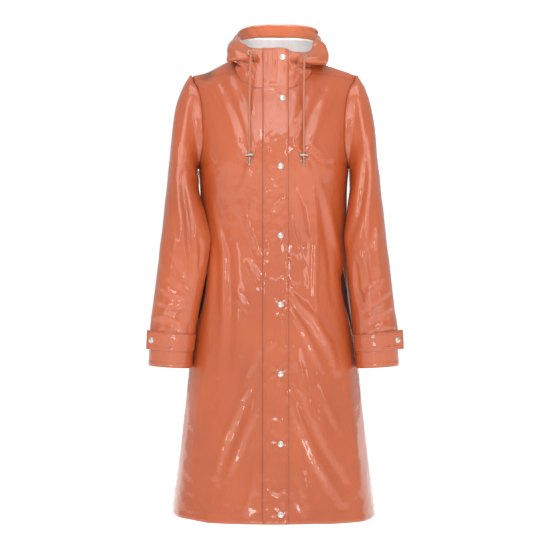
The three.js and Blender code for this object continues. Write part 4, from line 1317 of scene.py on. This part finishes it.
# Sleeves: the big folds that the arm's bend leaves, then the small ones above the cuff.
sleeveFolds = {
    -1: [
        (-3.6, 9, (-206, -250), (-202, -301), (-192, -359), (-184, -442), (-190, -500)),
        (3.0, 9, (-197, -262), (-176, -338), (-156, -396)),
        (-2.8, 7, (-170, -375), (-163, -414), (-166, -470)),
        (2.6, 10, (-222, -180), (-216, -270), (-206, -350), (-205, -440)),
        (2.2, 9, (-232, -300), (-222, -400), (-226, -480)),
        (-2.0, 9, (-240, -420), (-212, -470), (-190, -500)),
        (2.2, 8, (-252, -500), (-224, -520), (-196, -524)),
        (-2.2, 7, (-262, -545), (-232, -556), (-200, -550)),
        (2.4, 8, (-266, -570), (-236, -566), (-206, -590)),
        (2.0, 6, (-250, -600), (-246, -560), (-228, -530)),
        (1.8, 10, (-190, -60), (-200, -120), (-205, -180)),
        (-1.8, 9, (-205, -50), (-212, -110), (-214, -170)),
    ],
    1: [
        (-3.6, 9, (206, -215), (200, -280), (190, -340), (176, -385), (168, -415)),
        (3.0, 9, (196, -225), (184, -290), (176, -340)),
        (-3.2, 8, (182, -446), (188, -511), (201, -545)),
        (2.8, 9, (176, -420), (196, -440), (212, -500), (214, -560)),
        (2.4, 10, (222, -150), (220, -240), (210, -330), (206, -400)),
        (2.0, 9, (238, -320), (230, -400), (236, -480)),
        (-2.0, 9, (232, -350), (214, -420), (222, -490)),
        (2.4, 8, (240, -486), (214, -512), (204, -536)),
        (-2.2, 7, (262, -520), (232, -548), (204, -560)),
        (2.6, 8, (203, -580), (230, -562), (262, -548)),
        (2.0, 7, (212, -604), (238, -590), (266, -590)),
        (1.8, 10, (190, -60), (198, -120), (204, -170)),
        (-1.8, 9, (206, -60), (212, -120), (212, -180)),
    ],
}
sleeveBackFolds = [
    (2.6, 12, (196, -240), (222, -330), (250, -400)),
    (-2.4, 11, (182, -300), (206, -380), (240, -430)),
    (2.4, 11, (170, -360), (200, -440), (250, -470)),
    (2.0, 9, (190, -530), (226, -548), (262, -540)),
    (-2.0, 9, (192, -560), (230, -580), (266, -566)),
    (1.8, 9, (196, -600), (226, -606), (262, -596)),
]


# How strongly a sleeve's folds show, in front and behind.
sleeveValues = {"front": 1.8, "back": 1.4, "gather": 0.9, "gathers": 11}


def sleeveFold(side):
    def fold(points):
        x, y, z = points[..., 0], points[..., 1], points[..., 2]
        away = side * x
        ahead = y - np.interp(z, [-690, -450, -240, -30], [-62, -63, -30, -3])
        front, back = smooth(6, -22, ahead), smooth(-6, 22, ahead)
        mirrored = points * np.array([side, 1, 1])
        lift = foldsOf(points, sleeveFolds[side]) * front * sleeveValues["front"]
        lift = lift + foldsOf(mirrored, sleeveBackFolds) * back * sleeveValues["back"]
        lift = lift + ripples(points, [(44, 7 + side, (1, 1, 1.8), 0.9), (19, 5 + side, (1, 1, 1), 0.35)])
        gather = smooth(-560, -600, z) * (1 - smooth(-604, -618, z))
        around = np.arctan2(ahead, away - 230)
        lift = lift + gather * sleeveValues["gather"] * np.cos(sleeveValues["gathers"] * around + 2 * side)
        hemmed = 1 - 0.85 * smooth(-604, -616, z)
        middle = np.interp(z, [-690, -450, -300, -200], [233, 207, 205, 200])
        facingBody = smooth(0, -30, away - middle) * smooth(-700, -560, z)
        lift = lift * hemmed
        return np.where(lift > 0, lift * (1 - 0.8 * facingBody), lift)

    return fold


def strapFold(points):
    return ripple(points, 16, 8) * 0.22


strapValues = {"size": 2.2, "out": clothWall + 0.7, "wall": 1.5, "pucker": 0.15}
sides = ((-1, "left"), (1, "right"))
for side, name in sides:
    Cloth("sleeve_" + name, sleeveGrid(side), sleeveFold(side), side, 3.6, closed=True).build(["yoke"])
for side, name in sides:
    Cloth("cuff_strap_" + name, strapGrid(side), strapFold, side, **strapValues).build(["sleeve_" + name])
print("sleeves ready")

# Hood: the folds lie round the roll, and the facing and lining follow them inside.
hoodFolds = [
    (4.4, 7.5, (-108, 13), (-82, 13), (-60, 13), (-46, 17)),
    (-2.2, 5, (-104, 44), (-84, 34), (-60, 34)),
    (2.6, 6, (-96, 56), (-76, 46), (-58, 42)),
    (4.4, 7.5, (50, 14), (72, 5), (96, 5), (120, 4)),
    (-2.2, 5, (56, 32), (80, 34), (104, 50)),
    (2.4, 5, (60, 40), (84, 44), (102, 58)),
    (2.4, 5, (-50, -26), (-44, -12), (-46, 0)),
    (-2.2, 5, (-58, -30), (-52, -18), (-54, -6)),
    (2.4, 5, (40, -30), (48, -18), (60, -10)),
    (-2.2, 5, (46, -36), (56, -26), (66, -18)),
]
# The hollows under the roll, and the two deep pits beside the collar.
hoodHollows = [
    (-10.0, 4.6, (-122, -1), (-96, -1), (-70, 0), (-50, 2), (-36, 6)),
    (-10.0, 5.6, (-54, 16), (-42, 14), (-38, -4)),
    (-10.0, 4.6, (42, 4), (60, -5), (84, -7), (108, -8), (138, -11)),
    (-10.0, 5.6, (54, 14), (44, 6), (50, -12)),
]


def hoodFold(points):
    return hoodWaves(points) + foldsOf(points, hoodHollows) * smooth(10, -25, points[..., 1])


hoodValues = {"size": 2.8, "leftNearer": 15, "rightWider": 6, "rightDroop": 7, "seamLonger": 0.6}
hoodValues.update({"creased": 1.6, "liningIn": 5, "liningBack": 15, "hollowWide": 12})


# The lining is creased a little, and keeps well behind the hollows.
def liningFold(points):
    creased = np.abs(ripple(points, 24, 12, (1, 1, 1.5))) * smooth(20, 60, points[..., 1])
    return hoodWaves(points) - hoodValues["creased"] * creased - hoodValues["liningIn"] * nearHollow(points)


def nearHollow(points):
    near = foldsOf(points, [(1, hoodValues["hollowWide"], *line) for deep, wide, *line in hoodHollows])
    return np.clip(near, 0, 1) * smooth(10, -25, points[..., 1])


def setBack(part):
    part["base"] = part["base"].copy()
    part["base"][..., 1] += hoodValues["liningBack"] * nearHollow(part["base"])
    return part


def hoodWaves(points):
    x, y = points[..., 0], points[..., 1]
    lift = foldsOf(points, hoodFolds) * smooth(10, -25, y)
    lift = lift + ripple(points, 30, 9, (1, 1, 1.3)) * 0.7 * (1 - smooth(-60, -80, y) * (np.abs(x) < 35))
    lift = lift + ripple(points, 70, 11, (0.7, 1, 2.4)) * 1.6 * smooth(40, 100, y)
    rests = smooth(20, 6, surfaceGap(points))
    return np.where(lift > 0, lift * (1 - 0.7 * rests), lift)


def surfaceGap(points):
    flat = points.reshape(-1, 3)
    gaps = [abs(p[2] - ridge(p[0])) + abs(p[1]) * 0.3 if abs(p[1]) < 60 else 40 for p in flat]
    return np.array(gaps).reshape(points.shape[:2])


# The left side of the hood lies nearer to the neck than the right one, whose corner sinks.
hoodBase, hoodRowsAt, hoodColumnsAt = refine(hoodGrid, hoodValues["size"])
x, z = hoodBase[..., 0], hoodBase[..., 2]
leftBulge = smooth(-72, -112, x) * smooth(-4, 22, z) * (1 - smooth(50, 92, z))
rightCorner = smooth(70, 112, x) * smooth(-26, 4, z) * (1 - smooth(20, 52, z))
x += hoodValues["leftNearer"] * leftBulge + hoodValues["rightWider"] * rightCorner
z -= hoodValues["rightDroop"] * rightCorner
hoodBase[0] += (hoodBase[0] - hoodBase[1]) * hoodValues["seamLonger"]
hoodNormals = normalsOf(hoodBase, False, -1)
turnKnots = chordKnots(hoodGrid, 1)
rowKnots = chordKnots(hoodGrid, 0)


def between(first, last, knots, places, grid):
    low, high = (int(np.argmin(np.abs(grid - np.interp(end, knots, places)))) for end in (first, last))
    return slice(low, high + 1)


def hoodPart(firstTurn, lastTurn, firstRow=0, lastRow=12):
    rows = between(firstRow, lastRow, range(13), rowKnots, hoodRowsAt)
    columns = between(firstTurn, lastTurn, hoodTurns, turnKnots, hoodColumnsAt)
    part = {"base": hoodBase[rows, columns], "normals": hoodNormals[rows, columns]}
    part["rows"] = hoodRowsAt[rows] - hoodRowsAt[rows][0]
    part["columns"] = hoodColumnsAt[columns] - hoodColumnsAt[columns][0]
    return part


hoodCuts = {
    "hood_side_left": (1, sideSeamTurn),
    "hood_centre": (sideSeamTurn, 22 - sideSeamTurn),
    "hood_side_right": (22 - sideSeamTurn, 22.96),
}
for name, (first, last) in hoodCuts.items():
    Cloth(name, hoodPart(first, last), hoodFold, -1, pucker=0.2, under=("low",)).build(["yoke"])
insideOut = -(clothWall / 2 + layerGap + liningWall / 2)
facingValues = {"out": insideOut, "wall": 0.9, "pucker": 0.1}
liningValues = {"out": insideOut - 0.4, "wall": 0.8, "pucker": 0.1}
facing = Cloth("hood_facing", setBack(hoodPart(1, 21, 10, 12)), liningFold, -1, **facingValues)
facing.build(["hood_centre"], facingLitCloth, facingLitCloth)
lining = Cloth("hood_lining", setBack(hoodPart(1, 21, 0.4, 10)), liningFold, -1, **liningValues)
lining.build(["hood_centre"], liningCloth, liningCloth)
print("hood ready")

bagValues = {"size": 4.0, "out": -(clothWall / 2 + bagGap + 0.6), "wall": 0.9}
for side, name in sides:
    bag = Cloth("pocket_bag_" + name, bagGrid(side), bodyFold, side, **bagValues)
    bag.build(["front_" + name], bagShadeCloth, bagShadeCloth)


# Turned metal: a profile of (radius, height) points round an axis.
def turned(name, profile, spot, axis, steps=40, ring=False, metal=fittingsMetal):
    axis = Vector(axis).normalized()
    turn = Vector((0, 0, 1)).rotation_difference(axis)
    points, faces = [], []
    for r, h in profile:
        for i in range(steps):
            angle = 2 * math.pi * i / steps
            points.append(turn @ Vector((r * math.cos(angle), r * math.sin(angle), h)) + Vector(spot))
    loops = len(profile)
    for j in range(loops if ring else loops - 1):
        for i in range(steps):
            k, n = (j + 1) % loops, (i + 1) % steps
            faces.append((j * steps + i, j * steps + n, k * steps + n, k * steps + i))
    if not ring:
        faces += [tuple(range(steps))[::-1], tuple(range((loops - 1) * steps, loops * steps))]
    mesh = bpy.data.meshes.new(name)
    mesh.from_pydata([tuple(p * metre) for p in points], [], faces)
    mesh.materials.append(metal)
    mesh.polygons.foreach_set("use_smooth", np.ones(len(mesh.polygons), bool))
    mesh.set_sharp_from_angle(angle=0.9)
    return made(name, mesh, name)


capProfile = [
    (6.2, 0.0),
    (6.55, 0.15),
    (6.7, 0.6),
    (6.6, 1.05),
    (6.3, 1.35),
    (5.8, 1.45),
    (5.35, 1.4),
    (5.1, 1.35),
    (4.8, 1.6),
    (3.9, 2.05),
    (2.6, 2.4),
    (1.2, 2.57),
    (0.2, 2.6),
]
for i, (x, z) in enumerate(snapPlaces):
    spot, normal = flap.nearest(x, z)
    turned("snap_" + str(i + 1), capProfile, spot + normal * 0.1, normal)
for side, name in sides:
    grid = strapGrid(side)
    a, b = grid[1, -3] * 0.25 + grid[1, -2] * 0.75, grid[2, -3] * 0.25 + grid[2, -2] * 0.75
    middle = (a + b) / 2
    spot, normal = cloths["cuff_strap_" + name].nearest(middle[0], middle[2])
    turned("cuff_snap_" + name, capProfile, spot + normal * 0.1, normal)

# Drawcord ends: out of the eyelets in the hood, down over the chest, each into a T-shaped end.
cordRoutes = {
    "left": {"row": 10.7, "turn": 2.8, "endX": -53.5, "rollY": -112, "barTilt": 0.05, "tipTilt": 0.12},
    "right": {"row": 10.3, "turn": 18.7, "endX": 67, "rollY": -110, "barTilt": -0.05, "tipTilt": -0.03},
}
cordEndZ = -206
cordSteps = 80
barRadius = 2.9
tipHalf = 10


def hoodSpot(row, turn):
    column = max(i for i, other in enumerate(hoodTurns) if other <= turn)
    u = turn - hoodTurns[column]
    v = int(row)
    low = mix(hoodGrid[v, column], hoodGrid[v, column + 1], u)
    high = mix(hoodGrid[v + 1, column], hoodGrid[v + 1, column + 1], u)
    across = hoodGrid[v, column + 1] - hoodGrid[v, column]
    normal = -np.cross(across, hoodGrid[v + 1, column] - hoodGrid[v, column])
    return mix(low, high, row - v), normal / np.linalg.norm(normal)


barEnd = [(1.6, -9.5), (2.5, -9.1), (2.9, -8.3), (2.9, -6.6), (2.5, -6.2), (2.5, -5.7), (2.75, -5.3)]
barProfile = barEnd + [(2.8, 0)] + [(r, -h) for r, h in barEnd[::-1]]
tipNeck = [(1.3, -10), (2.0, -9.6), (2.4, -8.8), (2.4, -6.5), (2.1, -6.1), (2.2, -5.4)]
tipProfile = tipNeck + [(2.25, 6), (2.15, 8.6), (1.9, 9.6), (1.4, 10)]
eyeletProfile = [(3.6, -0.9), (5.9, -0.9), (5.85, -0.3), (5.5, 0.4), (4.8, 0.9), (4.1, 0.75), (3.6, 0.2)]
for name, route in cordRoutes.items():
    spot, normal = hoodSpot(route["row"], route["turn"])
    seat = spot + normal * (clothWall / 2 + 1.8 + 0.9)
    turned("eyelet_" + name, eyeletProfile, seat, normal, ring=True)
    points = [spot + normal * (clothWall / 2 + out) for out in (1.3, 3.7, 6.1)]
    bend = spot + normal * (clothWall / 2 + 9) + np.array([0, 0, -2.6])
    points.append(bend)
    for i in range(10):
        z = mix(bend[2] - 8, cordEndZ, i / 9)
        x = mix(bend[0], route["endX"], min(1, (i + 1) / 5))
        chest = surfaceY(x, z, False) - clothWall / 2 - layerGap - cordRadius - 1
        hang = mix(bend[1] - 2, route["rollY"], min(1, (i + 0.5) / 1.5))
        y = min(hang, route["rollY"] + 3) if z > -50 else min(chest, route["rollY"])
        points.append(np.array([x, y, z]))
    line = Line(points, 200)
    curve = bpy.data.curves.new("cord_" + name, "CURVE")
    curve.dimensions = "3D"
    curve.bevel_depth = cordRadius * metre
    curve.bevel_resolution = 6
    curve.use_fill_caps = True
    spline = curve.splines.new("POLY")
    spline.points.add(cordSteps)
    for i, point in enumerate(spline.points):
        point.co = (*(line.at(i / cordSteps) * metre), 1)
    spline.use_smooth = True
    curve.materials.append(cordCloth)
    cord = made("cord_" + name, curve, "cord_" + name)
    barSpot = line.at(1) - np.array([0, 1.5, barRadius + layerGap])
    bar = turned("toggle_bar_" + name, barProfile, barSpot, (1, 0, route["barTilt"]), 28, metal=toggleMetal)
    tipSpot = barSpot - np.array([0, 0, barRadius + layerGap + tipHalf])
    tip = turned("toggle_tip_" + name, tipProfile, tipSpot, (route["tipTilt"], 0, 1), 28, metal=toggleMetal)
    tuple(points[0] * metre)
print("fittings ready")

# Topstitching along the seams, the flap, the straps, the hood and the hems: how far in from each edge.
frontRuns = (("right", 3.4), ("low", 24), ("high", 3.4))
strapRuns = (("low", 3.4), ("low", 8.5), ("high", 3), ("high", 8.5), ("right", 4))
sleeveRuns = (("high", 10), ("high", 89), ("low", 4))
hoodRuns = (("high", 4), ("high", 28), ("low", 4))
runs = {
    "front_left": frontRuns,
    "front_right": frontRuns,
    "yoke": (("low", 3.4), ("high", 3.4), ("high", 8)),
    "back": (("left", 3.4), ("right", 3.4), ("low", 24), ("high", 3.4)),
    "placket": (("left", 2.6), ("left", 7.2), ("right", 5.2), ("low", 4), ("high", 4)),
    "cuff_strap_left": strapRuns,
    "sleeve_left": sleeveRuns,
    "cuff_strap_right": strapRuns,
    "sleeve_right": sleeveRuns,
    "hood_side_left": hoodRuns,
    "hood_centre": (*hoodRuns, ("left", 3.5), ("right", 3.5)),
    "hood_side_right": hoodRuns,
}
for name, places in runs.items():
    for edge, inset in places:
        stitch(*cloths[name].run(edge, inset))
made("stitching", meshOf("stitching", stitchPoints, stitchFaces, [threadPaint]))
print("stitches", len(stitchFaces))


# Studio: a white room, a tall soft light on either side, small ones by the camera and under it, broad ones
# above, one behind, and a narrow one into the hood.
def light(name, place, aim, size, watts, tall=None, spread=math.pi):
    data = bpy.data.lights.new(name, "AREA")
    data.shape = "RECTANGLE"
    data.size = size
    data.size_y = tall or size
    data.energy = watts
    data.spread = spread
    lamp = bpy.data.objects.new(name, data)
    lamp.location = place
    lamp.rotation_euler = (Vector(aim) - Vector(place)).to_track_quat("-Z", "Y").to_euler()
    scene.collection.objects.link(lamp)


light("key", (-1.5, -2.6, 0.7), (0, 0, -0.4), 0.32, 5.2, tall=1.6)
light("fill", (1.7, -2.5, 0.3), (0, 0, -0.5), 0.26, 4.2, tall=1.6)
light("near_left", (-0.5, -3.0, 0.5), (0, 0, -0.5), 0.14, 2.9, tall=0.5)
light("near_right", (0.6, -3.0, 0.2), (0, 0, -0.5), 0.14, 2.6, tall=0.5)
light("overhead", (0, -1.9, 1.9), (0, 0, -0.1), 1.2, 3.0, tall=0.4)
light("upper", (0, -2.6, 1.5), (0, 0, 0.5), 3.6, 8.5, tall=1.8, spread=1.2)
light("roof", (0, -0.7, 2.5), (0, 0, 0), 2.4, 24, tall=1.5)
light("hood", (0, -0.6, 0.75), (0, 0.07, 0.105), 0.12, 0.06, spread=0.16)
light("near_low", (-0.15, -2.6, -1.2), (0, 0, -0.4), 0.4, 2.1, tall=0.14)
light("low", (0.2, -2.4, -1.4), (0, 0, -0.7), 1.4, 1.3, tall=0.25)
light("back", (0.4, 2.4, 0.6), (0, 0, -0.4), 0.5, 10, tall=1.4)

roomValues = {"light": 0.5, "seen": 1.0, "floorGlow": 0.78, "floorZ": -1.5, "floorReach": 30}
world = bpy.data.worlds.new("room")
world.use_nodes = True
sky = world.node_tree
background = sky.nodes["Background"]
seen = sky.nodes.new("ShaderNodeLightPath")
brightness = sky.nodes.new("ShaderNodeMapRange")
brightness.inputs["To Min"].default_value = roomValues["light"]
brightness.inputs["To Max"].default_value = roomValues["seen"]
sky.links.new(seen.outputs["Is Camera Ray"], brightness.inputs["Value"])
sky.links.new(brightness.outputs[0], background.inputs["Strength"])
background.inputs["Color"].default_value = (1, 1, 1, 1)
scene.world = world


def floorPaint(name, colour):
    paint = Paint(name)
    tone = paint.colours(paint.noise(3, 2), colour, [c * 0.985 for c in colour])
    values = {"Base Color": tone, "Roughness": 0.9, "Emission Color": tone}
    return paint.finish({**values, "Emission Strength": roomValues["floorGlow"]})


far = roomValues["floorReach"]
corners = [(x * far, y * far, roomValues["floorZ"]) for x, y in ((-1, -1), (1, -1), (1, 1), (-1, 1))]
floorMesh = bpy.data.meshes.new("floor")
floorMesh.from_pydata(corners, [], [(0, 1, 2, 3)])
floorMesh.materials.append(floorPaint("pale_floor", (0.95, 0.95, 0.95)))
floor = bpy.data.objects.new("floor", floorMesh)
scene.collection.objects.link(floor)

scene.view_settings.view_transform = "Standard"
scene.view_settings.look = "None"
